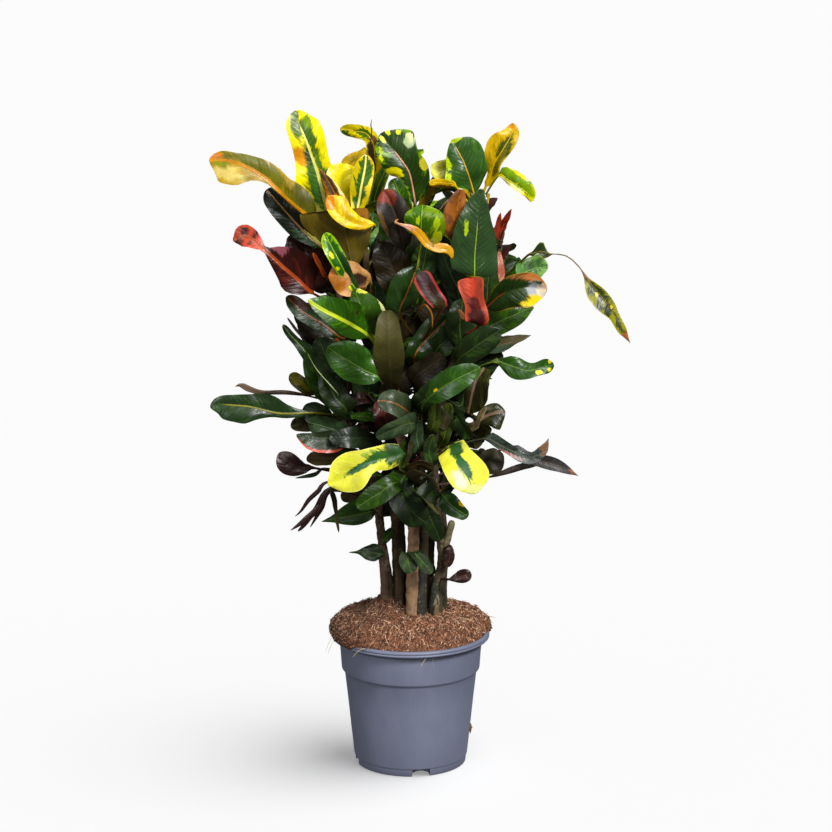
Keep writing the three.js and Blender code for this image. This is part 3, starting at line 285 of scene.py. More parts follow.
# Leaves listed one by one, the ones that show from the front: arm, height of the root, path of (across, up,
# depth) as seen, width and look. lean and twist turn the blade about its midrib, cup lifts its edges, stalk
# is the part without a blade, and neck is a bare stretch, with tail the width beyond it. Angles are in
# degrees.
frontLeaves = [
    # upper left
    leafRow("a1", 738, [(-111, 762, -52), (-121, 800, -60), (-137, 836, -62), (-149, 872, -52)], 55,
        "sunny"),
    leafRow("a1", 702, [(-135, 741, -66), (-170, 784, -80), (-215, 797, -82), (-263, 803, -72)], 40,
        "goldOlive", lean=12, twist=20),
    leafRow("a1", 668, [(-120, 694, -58), (-150, 727, -64), (-185, 768, -60)], 40, "night", cup=10),
    leafRow("a1", 618, [(-126, 636, -98), (-156, 664, -112), (-187, 694, -116), (-208, 704, -112),
        (-229, 704, -104)], 50, "coralHead", neck=(0.7, 0.74), tail=30, lean=8),
    leafRow("a2", 640, [(-72, 672, -88), (-82, 700, -104), (-84, 727, -108)], 58, "hood", lean=170, cup=8),
    leafRow("a2", 702, [(-50, 724, -98), (-80, 730, -112), (-113, 753, -104)], 25, "goldPlain", stalk=0.2),
    leafRow("a2", 722, [(-66, 748, -74), (-67, 778, -82), (-62, 814, -76)], 31, "halfGreen", lean=-14,
        cup=12),
    leafRow("a1", 744, [(-93, 758, -74), (-91, 778, -82), (-87, 802, -78)], 44, "lemon", lean=10),
    leafRow("a1", 728, [(-104, 748, -86), (-108, 768, -90), (-110, 790, -88)], 22, "rust", lean=35),
    leafRow("a2", 732, [(-50, 790, -30), (-41, 812, -40), (-52, 833, -48), (-72, 840, -50), (-94, 842, -46)],
        23, "lemonSpot", stalk=0.3, twist=40),
    leafRow("a1", 640, [(-86, 652, -84), (-101, 682, -94), (-112, 715, -92)], 26, "limeEdge", cup=16),
    leafRow("a1", 648, [(-112, 660, -66), (-121, 676, -74), (-132, 696, -72)], 16, "crimson", lean=20),
    leafRow("a1", 652, [(-124, 672, -36), (-140, 690, -40), (-158, 707, -38)], 22, "dark", lean=-20),
    leafRow("a2", 622, [(-60, 646, -76), (-72, 664, -94), (-93, 677, -92)], 32, "tan", lean=30, cup=24),
    leafRow("a2", 612, [(-72, 630, -70), (-92, 638, -84), (-107, 656, -84)], 24, "amber", lean=-30, cup=20),
    # upper middle
    leafRow("a4", 736, [(7, 752, -62), (4, 778, -72), (-4, 803, -76), (-17, 847, -66)], 34, "spotted",
        neck=(0.53, 0.55), tail=56),
    leafRow("a4", 650, [(-10, 690, -84), (-18, 726, -94), (-33, 772, -90)], 48, "maroon", lean=8),
    leafRow("a4", 650, [(8, 674, -108), (16, 704, -122), (21, 728, -126), (24, 751, -120)], 50, "limeSpot",
        stalk=0.42, cup=6),
    leafRow("a4", 738, [(-14, 728, -112), (5, 718, -130), (26, 700, -136), (55, 684, -130)], 15, "strip",
        stalk=0.2, lean=40, twist=60),
    leafRow("a4", 722, [(-8, 744, -18), (-14, 762, -22), (-22, 782, -20)], 24, "mid"),
    leafRow("a4", 730, [(16, 746, 2), (22, 760, 6), (28, 778, 8)], 18, "dark"),
    leafRow("a4", 600, [(14, 640, -60), (30, 664, -74), (45, 684, -72)], 34, "limeEdge", lean=20),
    leafRow("a4", 610, [(-6, 640, -30), (-24, 670, -44), (-44, 700, -46)], 36, "bronze", lean=-15),
    leafRow("a2", 690, [(-55, 700, -46), (-50, 716, -52), (-48, 738, -50)], 18, "pale"),
    # upper right
    leafRow("a5", 746, [(80, 770, -56), (72, 798, -68), (58, 837, -62)], 56, "limeRibbed", cup=6),
    leafRow("a5", 738, [(74, 758, -36), (64, 771, -44), (47, 778, -42)], 22, "pale", lean=-20),
    leafRow("a5", 750, [(68, 776, 8), (48, 790, 14), (25, 795, 12)], 24, "cream"),
    leafRow("a5", 750, [(95, 776, -34), (106, 806, -42), (118, 830, -44), (132, 857, -40)], 40, "gold",
        lean=-18),
    leafRow("a5", 746, [(104, 783, -60), (122, 794, -68), (142, 780, -70), (158, 750, -66)], 31,
        "lemonGreen", stalk=0.25, lean=12),
    leafRow("a5", 676, [(76, 704, -82), (71, 730, -92), (69, 766, -90)], 40, "oliveRust", lean=165, cup=20),
    leafRow("a5", 632, [(82, 668, -98), (85, 712, -108), (92, 769, -100)], 58, "glossDark", lean=-6),
    leafRow("a7", 696, [(114, 708, 10), (114, 722, 0), (117, 742, -6)], 13, "crimson", lean=30),
    leafRow("a7", 692, [(119, 706, 16), (126, 722, 10), (132, 746, 4)], 14, "crimson", lean=-30),
    leafRow("a7", 610, [(110, 634, -22), (117, 658, -30), (114, 688, -26)], 10, "pink", lean=20),
    leafRow("a7", 632, [(138, 668, 0), (162, 685, -20), (184, 687, -32), (204, 681, -42), (222, 659, -48),
        (248, 618, -54), (290, 563, -58)], 26, "thread", neck=(0.34, 0.56), tail=22, lean=10, twist=50),
    # middle right
    leafRow("a5", 594, [(98, 612, -74), (120, 632, -98), (150, 641, -114), (177, 640, -118)], 48,
        "curledTip", cup=14, stalk=0.3),
    leafRow("a7", 622, [(136, 648, -54), (156, 664, -72), (178, 668, -80)], 36, "pale", lean=20),
    leafRow("a4", 556, [(30, 596, -122), (22, 628, -134), (9, 663, -124)], 27, "maroonRed", cup=38,
        stalk=0.25),
    leafRow("a5", 578, [(84, 596, -118), (86, 622, -130), (78, 655, -126)], 36, "coralDark", cup=40,
        stalk=0.25),
    leafRow("a4", 578, [(-12, 602, -84), (-5, 630, -94), (6, 666, -90)], 44, "orangeRib", lean=10),
    leafRow("a4", 524, [(6, 552, -74), (23, 574, -84), (50, 602, -86)], 38, "orangeRib", lean=10),
    leafRow("a5", 508, [(58, 540, -88), (82, 561, -98), (117, 585, -98)], 42, "limeRib", lean=8),
    leafRow("a5", 562, [(90, 584, -72), (120, 598, -80), (161, 614, -76)], 40, "mid", lean=-10),
    leafRow("a5", 546, [(96, 562, -54), (126, 570, -60), (161, 578, -56)], 28, "purpleGrey", lean=150),
    leafRow("a5", 520, [(88, 540, -46), (125, 536, -58), (156, 529, -62), (190, 535, -56)], 31, "tipSpots",
        stalk=0.3, twist=20),
    leafRow("a5", 494, [(74, 514, -62), (94, 512, -72), (110, 480, -74)], 34, "bronzeRib", lean=10),
    leafRow("a5", 506, [(86, 524, -34), (102, 540, -38), (118, 556, -36)], 30, "dark", lean=-15),
    leafRow("a4", 462, [(20, 490, -98), (50, 514, -110), (91, 535, -108)], 35, "tipSpots", lean=-8),
    leafRow("a5", 600, [(62, 636, -66), (52, 658, -78), (40, 690, -80)], 36, "slate", lean=-20),
    # middle left
    leafRow("a3", 566, [(-50, 584, -66), (-60, 610, -74), (-74, 647, -72)], 40, "limeEdge", lean=-14),
    leafRow("a3", 545, [(-56, 572, -102), (-96, 600, -118), (-138, 624, -120)], 46, "limeRib", lean=6),
    leafRow("a1", 578, [(-115, 593, -74), (-141, 608, -82), (-166, 634, -82)], 35, "orangeRib", lean=10),
    leafRow("a1", 552, [(-97, 574, -56), (-120, 592, -62), (-148, 616, -60)], 37, "redRib"),
    leafRow("a1", 532, [(-104, 556, -40), (-124, 578, -46), (-143, 602, -44)], 30, "redRib", lean=-12),
    leafRow("a3", 492, [(-27, 530, -108), (-29, 568, -120), (-30, 611, -116)], 38, "oliveBack", lean=175,
        cup=-8),
    leafRow("a3", 500, [(-38, 519, -96), (-74, 541, -116), (-113, 566, -120)], 54, "bigGreen", lean=4,
        cup=6),
    leafRow("a1b", 490, [(-112, 518, -46), (-136, 552, -54), (-169, 596, -52)], 36, "paleRib"),
    leafRow("a1b", 474, [(-125, 474, -52), (-168, 477, -62), (-214, 482, -66), (-268, 480, -62)], 38,
        "yellowRib", stalk=0.2),
    leafRow("a1b", 496, [(-132, 499, -18), (-170, 502, -22), (-206, 505, -24), (-230, 511, -22)], 11,
        "dried"),
    leafRow("a1b", 503, [(-122, 508, -28), (-142, 516, -34), (-163, 526, -34)], 29, "oliveYellow", lean=12),
    leafRow("a1b", 462, [(-112, 466, -32), (-136, 458, -38), (-161, 450, -36)], 26, "oliveBack", lean=160),
    leafRow("a2", 486, [(-60, 494, -42), (-78, 492, -50), (-96, 489, -48)], 19, "plum", lean=30),
    leafRow("a2", 462, [(-72, 470, -26), (-94, 486, -34), (-108, 517, -34)], 26, "slate"),
    # lower middle
    leafRow("a4", 466, [(-8, 480, -84), (-24, 489, -96), (-43, 491, -94)], 36, "greyRib", lean=14),
    leafRow("a4", 448, [(4, 461, -88), (-17, 455, -104), (-45, 442, -104)], 28, "greyGreen", lean=-10),
    leafRow("a3", 424, [(-30, 450, -52), (-40, 470, -58), (-49, 494, -56)], 27, "maroon", lean=8),
    leafRow("a4", 438, [(2, 434, -74), (0, 422, -84), (-5, 408, -84)], 11, "oliveBack"),
    leafRow("a5", 462, [(20, 468, -52), (12, 456, -62), (10, 438, -64)], 18, "dark", lean=20),
    leafRow("a5", 492, [(48, 486, -58), (46, 470, -66), (42, 452, -66)], 17, "oliveBack"),
    leafRow("a3", 416, [(-34, 420, -100), (-70, 404, -124), (-110, 386, -130)], 51, "heart", lean=6),
    leafRow("a5", 418, [(46, 420, -78), (65, 402, -108), (85, 365, -126)], 57, "heart", lean=-6),
    # lower right
    leafRow("a5", 426, [(72, 442, -62), (110, 436, -74), (146, 423, -76), (179, 444, -68)], 32, "rustEdge",
        twist=50),
    leafRow("a5", 450, [(76, 458, -56), (100, 470, -66), (126, 473, -64)], 36, "paleRib", lean=12),
    leafRow("a5", 412, [(70, 432, -44), (97, 426, -52), (125, 402, -50)], 38, "oliveBack", lean=170),
    leafRow("a5", 392, [(92, 402, -40), (134, 410, -50), (176, 414, -52), (219, 389, -46)], 22, "purpleGrey",
        stalk=0.2),
    leafRow("a5", 380, [(84, 390, -26), (124, 393, -32), (169, 406, -34)], 11, "dark"),
    leafRow("a5", 362, [(42, 364, -62), (58, 352, -70), (80, 336, -68)], 34, "tipSpots", lean=10),
    leafRow("a4", 364, [(2, 390, -84), (20, 391, -96), (38, 371, -96)], 20, "rust", lean=150),
    leafRow("a4", 340, [(14, 360, -58), (26, 352, -66), (37, 339, -66)], 30, "dark"),
    # lower left
    leafRow("a1", 426, [(-86, 434, -70), (-116, 437, -82), (-154, 447, -82)], 30, "coralEdge", lean=-10),
    leafRow("a1", 404, [(-86, 412, -54), (-110, 413, -62), (-137, 413, -62)], 22, "plum", lean=150),
    leafRow("a1", 386, [(-92, 401, -38), (-128, 401, -46), (-154, 403, -50), (-182, 413, -48)], 36, "plum",
        stalk=0.45),
    leafRow("a1", 378, [(-104, 397, -18), (-128, 390, -22), (-152, 388, -22)], 9, "plum"),
    leafRow("a2", 424, [(-54, 440, -28), (-78, 441, -38), (-107, 441, -40)], 28, "slate", lean=12),
    leafRow("a1", 372, [(-98, 388, -48), (-130, 363, -56), (-151, 311, -54)], 15, "plum", stalk=0.3),
    leafRow("a1", 364, [(-94, 380, -66), (-124, 351, -74), (-162, 314, -72)], 12, "plum", stalk=0.3),
    leafRow("a1", 356, [(-96, 370, -34), (-117, 346, -38), (-136, 317, -36)], 11, "plum", stalk=0.3),
    leafRow("a1", 346, [(-84, 370, -84), (-97, 350, -92), (-95, 309, -90)], 14, "oliveBack", stalk=0.3),
    leafRow("a1", 332, [(-60, 343, -48), (-86, 338, -58), (-121, 329, -58)], 28, "dark", lean=-12),
    leafRow("a3", 366, [(-18, 381, -94), (-42, 366, -106), (-71, 347, -108)], 28, "mid", lean=14),
    leafRow("a2", 354, [(-16, 358, -74), (-28, 348, -82), (-40, 336, -82)], 28, "dark"),
    leafRow("a1", 352, [(-56, 372, -70), (-74, 366, -80), (-92, 360, -80)], 26, "rust", lean=165),
    # small leaves low on the stems
    leafRow("a1", 281, [(-48, 285, -26), (-62, 285, -32), (-84, 286, -32)], 27, "dark", pointed=True),
    leafRow("a1", 294, [(-36, 302, -14), (-30, 309, -18), (-23, 319, -18)], 13, "mid"),
    leafRow("a3", 288, [(-2, 282, -50), (-3, 272, -58), (1, 258, -60)], 24, "mid"),
    leafRow("a4", 286, [(14, 282, -44), (22, 272, -52), (31, 256, -52)], 13, "mid"),
    leafRow("a5", 292, [(50, 294, -24), (52, 282, -28), (48, 266, -28)], 13, "maroon"),
    leafRow("a5", 252, [(48, 250, -34), (62, 251, -40), (82, 254, -42)], 22, "plum", stalk=0.38),
]

def drawn(path, left, right=None, **more):
    return dict(path=path, left=left, right=right or left, **more)


# How the leaves that show most really run, by their place in frontLeaves: the midrib from the stalk's end to
# the tip as (across, up), the left and right half widths in millimetres at even steps along it, or one row
# for both, and what else differs. A spot is (share along the blade, millimetres from the rib, half length,
# half width, colour).
shapes = {
    0: drawn([(-106, 735), (-112, 760), (-119, 788), (-127, 812), (-133, 829), (-142, 852), (-143, 870)],
        (22, 27, 29, 31, 25, 21, 19, 17, 12), (3, 4, 10, 20, 20, 22, 25, 24, 14), leftCurl=(30, 10, 0, 0, 0),
        ribLast=0.88, spots=[(0.6, -14, 14, 9, "cf8a1c"), (0.02, -14, 9, 12, "e8d98c"),
        (0.86, -6, 20, 7, "4c661c"), (0.74, 6, 22, 6, "3d5a1c"), (0.56, -4, 12, 6, "2c3c16"),
        (0.28, -7, 34, 7, "3a6028"), (0.35, 6, 30, 4, "4c702c"), (0.88, 10, 12, 5, "6c8a24")]),
    1: drawn([(-124, 726), (-154, 751), (-186, 782), (-217, 800), (-244, 806), (-258, 805)],
        (2, 2, 2, 2, 3, 5, 12, 27, 30, 27, 14), (8, 20, 25, 24, 20, 21, 19, 16, 13, 12, 9), lean=4, twist=0,
        tone=0.84, spots=[(0.97, 3, 12, 12, "c8762a"), (0.6, 10, 50, 9, "5c5c18"),
        (0.16, 14, 34, 12, "4e4e16"), (0.84, -14, 26, 12, "c9b468"), (0.9, -4, 14, 6, "7c7a1e")]),
    2: drawn([(-112, 690), (-130, 707), (-150, 727), (-185, 768)], (3, 10, 15, 17, 17.5, 16, 12),
        (3, 10, 15, 18, 19, 18, 12), tone=0.8, lean=0, spots=[(0.12, 0, 26, 4, "b8c060"),
        (0.1, -9, 30, 8, "24401c")]),
    # The pale purple-pink spot on the upper lobe is a painted highlight.
    3: drawn([(-128, 634), (-142, 647), (-154, 658), (-166, 668), (-178, 680), (-189, 690), (-203, 702),
        (-215, 708), (-229, 702)], (3, 12, 20, 21, 15, 10, 7, 3, 9, 13, 13, 8),
        (8, 24, 32, 32, 30, 26, 17, 4, 9, 14, 14, 8), lean=0, neck=None, cup=8, tone=0.8,
        spots=[(0.86, 0, 24, 20, "bf5646"), (0.78, 2, 3.2, 12, "3c1414"), (0.87, 4, 3.2, 9, "3c1414"),
        (0.96, -6, 10, 8, "5c2e28"), (0.56, 16, 14, 10, "8a5058"), (0.68, -2, 8, 3, "c85c44")]),
    4: drawn([(-72, 664), (-80, 690), (-84, 715), (-86, 742)], (4, 16, 26, 32, 34, 30),
        (4, 14, 24, 38, 52, 58), tone=0.95, roundFrom=0.97, spots=[(0.84, -24, 22, 8, "9a6210"),
        (0.3, 10, 30, 14, "4a3d04"), (0.5, -20, 30, 8, "4c4006")]),
    5: drawn([(-46, 722), (-64, 722), (-78, 726), (-90, 733), (-99, 744), (-106, 760)],
        (1.5, 5, 7, 9, 9, 8, 5), (1.5, 7, 12, 17, 20, 20, 10), forward=12, lean=0,
        spots=[(0.95, -2, 14, 9, "c87a20")]),
    6: drawn([(-69, 731), (-66, 754), (-62, 777), (-58, 797), (-57, 812)], (4, 9, 14, 16, 14, 9),
        (4, 8, 12, 13, 12, 8), lean=0, forward=6),
    7: drawn([(-88, 745), (-88, 765), (-88, 785), (-86, 802)], (8, 18, 21, 20, 14), (8, 18, 22, 22, 16)),
    8: drawn([(-90, 742), (-97, 762), (-106, 779), (-117, 795)], (14, 14, 10, 6, 1), (10, 10, 8, 4, 1),
        lean=0, look="amber", spots=[(0.6, 0, 26, 6, "3c2a10"), (0.5, 8, 34, 2.6, "ecdf98"),
        (0.1, 0, 14, 10, "cf7c22")]),
    9: drawn([(-44, 790), (-45, 806), (-48, 828), (-57, 840), (-72, 843), (-90, 845)],
        (9, 12, 12, 9, 10, 10, 8), (6, 9, 10, 10, 10, 10, 7), twist=0, lean=0,
        spots=[(0.25, -4, 26, 5, "5a4a2c"), (0.66, 0, 12, 5, "4a6a20"), (0.5, 2, 8, 6, "7a5a3a")]),
    10: drawn([(-70, 634), (-82, 655), (-92, 675), (-104, 698), (-110, 712)], (3, 8, 10, 12, 12, 8),
        (3, 7, 9, 10, 10, 7), forward=10, look="leftLime", lean=0, spots=[(0.5, -7, 4, 3, "d8d43a"),
        (0.7, -6, 5, 3, "d8d43a"), (0.2, -7, 12, 3, "d8d43a"), (0.3, 5, 40, 5, "203c18")]),
    11: drawn([(-110, 655), (-117, 669), (-126, 686)], (3, 5, 5, 4, 3), (3, 4, 4, 4, 3), lean=0,
        look="ember", forward=34),
    # In this ring leaf the darkest spot paints the shade in its hollow, and the brown spot at the lower left
    # is painted shade as well.
    13: drawn([(-52, 648), (-68, 651), (-88, 654), (-106, 655)], (6, 17, 22, 22, 12), (4, 13, 20, 21, 15),
        open=True, cup=0, forward=-10, ribLast=0.12, roundFrom=0.8, leftCurl=(0, 8, 8), rightCurl=(0, 8, 8),
        tone=0.9, spots=[(0.85, -9, 16, 11, "a5662c"), (0.95, 0, 8, 20, "b0713a"),
        (0.38, 0, 16, 9, "2e1a0c"), (0.3, -14, 20, 6, "4a2c14"), (0.05, -9, 8, 8, "d8cf70")]),
    14: drawn([(-66, 638), (-76, 650), (-84, 664)], (6, 12, 12, 8), lean=0, cup=0, forward=2, look="umber"),
    15: drawn([(6, 749), (3, 770), (1, 780), (-1, 789), (-6, 798), (-12, 806), (-18, 814), (-24, 821),
        (-29, 828), (-38, 840)], (2, 6, 8, 12, 20, 25, 25, 22, 19, 12),
        (2, 15, 22, 24, 25, 24, 30, 34, 28, 18), neck=None, ribLast=0.84, roundFrom=0.8, tone=0.9,
        spots=[(0.5, -18, 13, 10, "dcd030"), (0.44, 22, 5, 7, "d2c84a"), (0.7, 22, 9, 7, "9fae80"),
        (0.74, 27, 7, 5, "d0d49c"), (0.88, 19, 4, 3, "d8dc4a"), (0.96, 8, 6, 3, "c8d23c"),
        (0.92, -3, 7, 3, "c8d23c"), (0.76, -19, 4, 3, "c8d23c"), (0.84, -12, 5, 2, "a8bc34")]),
    16: drawn([(-8, 690), (-13, 715), (-22, 742), (-34, 768)], (4, 14, 20, 22, 19, 10),
        (4, 12, 18, 20, 17, 9), look="duskRed", tone=0.72, cup=18, lean=0,
        spots=[(0.97, 0, 18, 16, "7a3020"), (0.5, -20, 30, 4, "5c4424")]),
    17: drawn([(15, 700), (14, 716), (14, 732), (16, 748)], (6, 18, 22, 21, 12), (8, 28, 35, 32, 17),
        roundFrom=0.8, tone=0.85, spots=[(0.3, 25, 9, 8, "c0cc2e"), (0.62, 22, 7, 5, "a8c02c"),
        (0.1, 6, 6, 7, "cdd08a"), (0.62, -4, 8, 3, "a8c02c"), (0.03, 20, 6, 8, "bccc2e"),
        (0.7, 6, 6, 2, "a8c02c")]),
    18: drawn([(-20, 726), (0, 719), (12, 711), (22, 698), (36, 692), (50, 690), (54, 678)],
        (0.8, 2, 4, 5, 5, 7, 6, 3), (0.8, 2, 5, 6, 6, 6, 5, 3), lean=0, twist=0, forward=34, tone=0.86,
        spots=[(0.1, 0, 20, 8, "c89488")]),
    24: drawn([(81.5, 763), (78, 776), (73, 791), (68, 804), (61, 817), (53, 832)],
        (3, 8, 22, 30, 27, 24, 19, 12, 5), (3, 14, 22, 26, 27, 29, 29, 24, 14), ribLast=0.94, tone=1.15,
        spots=[(0.36, -27, 14, 5, "a9bc3a"), (0.72, -19, 16, 4, "b9cc3a"), (0.98, 4, 4, 12, "a8bc34")]),
    25: drawn([(58, 772), (48, 775), (38, 777), (24, 776)], (3, 6, 6, 5), (3, 5, 5, 4), lean=0, forward=34,
        look="gold", spots=[(0.5, -5, 30, 3, "5c3c18")]),
    26: drawn([(62, 792), (48, 794), (26, 792)], (6, 13, 13, 9), (6, 12, 12, 9), forward=62, lean=0,
        look="creamGreen", tone=1.15),
    27: drawn([(97, 772), (103, 788), (109, 804), (119, 820), (129, 838), (131, 853)],
        (4, 4, 8, 18, 22, 20, 13, 6), (5, 9, 10, 9, 10, 11, 10, 6), lean=0, tone=0.94,
        spots=[(0.62, 1, 20, 8, "3f4a16"), (0.4, 4, 22, 4, "6b6420"), (0.97, 0, 5, 8, "d08a2a")]),
    28: drawn([(112, 785), (124, 781), (134, 775), (144, 768), (153, 760), (156, 752)],
        (7, 12, 15, 16, 15, 14, 10, 5), (3, 4, 5, 6, 6, 5, 4), lean=0, tone=0.9,
        spots=[(0.35, -7, 36, 5, "6f9420"), (0.8, -4, 10, 4, "7c9c24"), (0.3, 4, 30, 3, "e4e48a")]),
    29: drawn([(72, 700), (64, 722), (60, 744), (66, 768)], (10, 22, 22, 15, 7), (8, 14, 14, 11, 6), lean=0,
        look="rust", tone=0.7, gloss=0.6),
    30: drawn([(82, 652), (83, 682), (86, 717), (87, 732), (92, 769)], (18, 28, 31, 31, 29, 25, 20, 14, 8),
        (18, 29, 29, 27, 25, 19, 14, 9, 5), lean=0, ribLast=0.8, spots=[(0.02, 0, 4, 22, "b9b43c"),
        (0.56, -14, 12, 3, "a9c03a")]),
    31: drawn([(113, 704), (112, 718), (116, 738)], (3, 5, 5, 4, 1), tone=0.75),
    32: drawn([(115, 704), (120, 722), (130, 743)], (3, 5, 5, 4, 1), tone=0.75),
    34: drawn([(152, 683), (162, 686), (172, 688), (181, 684), (199, 683), (216, 670), (236, 642),
        (259, 614), (286, 567)],
        (2, 5, 14, 3, 0.8, 0.8, 0.8, 0.8, 0.8, 1, 2, 5, 8, 9, 9, 8, 6, 5.5, 5, 3, 1),
        (2, 6, 3, 10, 0.8, 0.8, 0.8, 0.8, 0.8, 1, 4, 10, 14, 15, 15, 12, 8, 7.5, 7, 4, 1), stations=84,
        lean=0, twist=0, tone=0.8, spots=[(0.02, 0, 36, 20, "26341a"), (0.36, 0, 34, 3, "8a5a4c"),
        (0.97, 0, 10, 8, "94502a"), (0.62, 3, 3, 2.4, "d8c04a"), (0.74, -2, 2.4, 2, "d8c04a")]),
    # In the curled tip, the blue-grey spot beside the cream is painted shade.
    35: drawn([(98, 614), (117, 631), (136, 639), (152, 641), (164, 640), (177, 638)],
        (3, 6, 10, 15, 19, 21, 21, 18), (5, 14, 20, 22, 24, 25, 24, 20), lean=0, tone=0.9, cup=10,
        roundFrom=0.74, ribLast=0.66, leftCurl=(0, 0, 10, 25, 30, 30), rightCurl=(0, 0, 8, 20, 25, 25),
        spots=[(0.84, -16, 28, 6, "d48a58"), (0.98, 0, 6, 24, "e0ac78"), (0.84, 2, 10, 11, "a9adb0"),
        (0.93, 2, 6, 9, "dccdb4"), (0.86, 17, 13, 8, "e6c92e"), (0.68, 21, 9, 4, "e6c92e"),
        (0.3, 4, 24, 10, "2c4420")]),
    # Its high tone lightens the whole leaf: painted highlight.
    36: drawn([(136, 652), (148, 660), (160, 665), (178, 668)], (6, 14, 18, 19, 12), (8, 14, 17, 17, 10),
        lean=0, tone=1.4, roundFrom=0.8),
    37: drawn([(38, 610), (30, 628), (20, 645), (12, 660)], (8, 10, 11, 12, 12, 12), cup=4, lean=0,
        roundFrom=0.84, leftCurl=(0, 12, 12), rightCurl=(0, 12, 12), open=True, gloss=0.5,
        spots=[(0.1, 0, 20, 7, "33300f"), (0.86, 0, 12, 6, "3c2a30")]),
    38: drawn([(88, 590), (86, 612), (81, 632), (78, 654)], (10, 17, 16, 13, 14, 17, 17),
        (8, 12, 13, 12, 13, 15, 15), cup=0, open=True, roundFrom=0.94, ribLast=0.3, leftCurl=(0, 8, 8),
        rightCurl=(0, 8, 8), spots=[(0.22, -3, 26, 11, "3c1412"), (0.62, -1, 9, 4, "4a1a18"),
        (0.5, 2, 8, 4, "5a201c"), (0.85, -2, 14, 8, "c2503f")]),
    39: drawn([(-14, 606), (-6, 630), (4, 655), (8, 668)], (10, 22, 26, 24, 12), (8, 14, 18, 16, 10), lean=0,
        tone=0.85),
    41: drawn([(58, 540), (82, 561), (117, 585)], (4, 14, 18, 19, 16, 8), look="dark", tone=0.85),
    42: drawn([(64, 562), (86, 580), (110, 593), (136, 605), (160, 615)], (4, 10, 14, 14, 10, 4),
        (4, 12, 16, 16, 14, 4), lean=0, tone=0.8),
    43: drawn([(88, 556), (110, 563), (132, 569), (157, 578)], (3, 8, 11, 10, 7, 4, 0.6),
        (3, 9, 14, 15, 12, 7, 0.6), tone=0.62, spots=[(0.3, -6, 26, 6, "26381f")]),
    44: drawn([(106, 543), (120, 541), (135, 536), (150, 531), (165, 533), (187, 539)],
        (3, 5, 12, 14, 12, 9, 10, 8), (3, 5, 12, 15, 12, 9, 9, 7), twist=0, tone=0.85,
        spots=[(0.75, 5, 5, 3.4, "e8dc4c"), (0.91, 4.5, 3, 3, "e8dc4c"), (0.95, -5, 2.6, 2.4, "d8c850"),
        (0.0, 0, 10, 8, "8aa04a")]),
    45: drawn([(94, 534), (87, 520), (82, 504), (78, 485), (76, 474)], (6, 22, 30, 32, 26, 12),
        (6, 12, 18, 18, 14, 8), lean=0),
    47: drawn([(20, 490), (50, 514), (91, 535)], (4, 12, 17, 17, 14, 8), (4, 12, 17, 17, 13, 8), tone=0.72,
        spots=[(0.3, -2, 4, 2.4, "d9b53a")]),
    49: drawn([(-49, 576), (-56, 592), (-62, 608), (-68, 625), (-72, 640)], (3, 8, 14, 16, 12, 6),
        (3, 14, 24, 28, 20, 8), lean=0, look="mid", tone=0.9, spots=[(0.66, 27, 20, 4, "e6e8a0"),
        (0.0, 0, 6, 6, "8a9a28"), (0.95, 10, 5, 8, "d8d860")]),
    50: drawn([(-54, 576), (-72, 589), (-92, 600), (-110, 609), (-124, 617), (-133, 624)],
        (4, 12, 16, 16, 13, 8, 3), (4, 14, 22, 27, 23, 18, 8), lean=0, tone=0.9,
        spots=[(0.42, 16, 4, 3, "3a1c10")]),
    51: drawn([(-92, 575), (-110, 590), (-128, 601), (-142, 610), (-152, 620), (-161, 629)],
        (3, 9, 12, 13, 12, 10, 6), (3, 9, 12, 13, 13, 12, 8), look="orangeRib", tone=0.62,
        spots=[(0.85, 8, 22, 8, "40241c")]),
    55: drawn([(-38, 520), (-58, 530), (-76, 541), (-94, 552), (-108, 562)], (6, 16, 22, 23, 18, 9),
        (6, 18, 25, 26, 21, 10), lean=0, tone=0.86),
    56: drawn([(-114, 520), (-124, 536), (-134, 552), (-145, 566), (-157, 579), (-166, 592)],
        (6, 8, 9, 8, 6, 5, 4), (6, 14, 16, 12, 6, 5, 4)),
    57: drawn([(-128, 475), (-150, 474), (-172, 474), (-190, 478), (-210, 483), (-232, 485), (-252, 486),
        (-262, 482)], (2, 5, 6, 6, 13, 22, 22, 19, 9), (2, 5, 12, 20, 21, 16, 14, 12, 8), lean=0,
        ribLast=0.92),
    58: drawn([(-124, 495), (-140, 499), (-163, 502), (-185, 502), (-200, 503), (-212, 507), (-222, 512),
        (-229, 510)], (1, 1.5, 2.5, 3, 3, 2.5, 3.5, 4, 1.5), tone=0.9, spots=[(0.95, 0, 34, 9, "66503e")]),
    59: drawn([(-122, 502), (-136, 509), (-148, 518), (-157, 527)], (4, 9, 10, 9, 6), (4, 8, 9, 9, 6),
        lean=0),
    60: drawn([(-104, 470), (-124, 466), (-142, 460), (-157, 456)], (5, 12, 14, 12, 7), (5, 12, 14, 11, 6)),
    # The pinkish spot at the top is a painted highlight.
    65: drawn([(-24, 446), (-32, 464), (-40, 492)], (5, 13, 16, 16, 12, 8),
        spots=[(0.85, 0, 14, 12, "6a342e")]),
    69: drawn([(-8, 420), (-22, 416), (-36, 413), (-50, 410), (-63, 404), (-77, 396), (-91, 387),
        (-109, 378)], (6, 12, 15, 14, 15, 23, 25, 18, 8), (8, 16, 18, 17, 19, 25, 26, 21, 9), lean=0,
        roundFrom=0.84, ribLast=0.1, spots=[(0.56, 0, 26, 5, "2f5a34"), (0.04, 4, 34, 17, "24451b"),
        (0.38, 5, 14, 6, "2f5a24"), (0.48, 12, 6, 4, "9cb84a")]),
    70: drawn([(52, 430), (58, 419), (66, 406), (74, 393), (80, 380), (85, 366)],
        (15, 19, 22, 25, 27, 25, 16), (20, 21, 23, 25, 25, 22, 14), lean=0, roundFrom=0.76, ribLast=0.1,
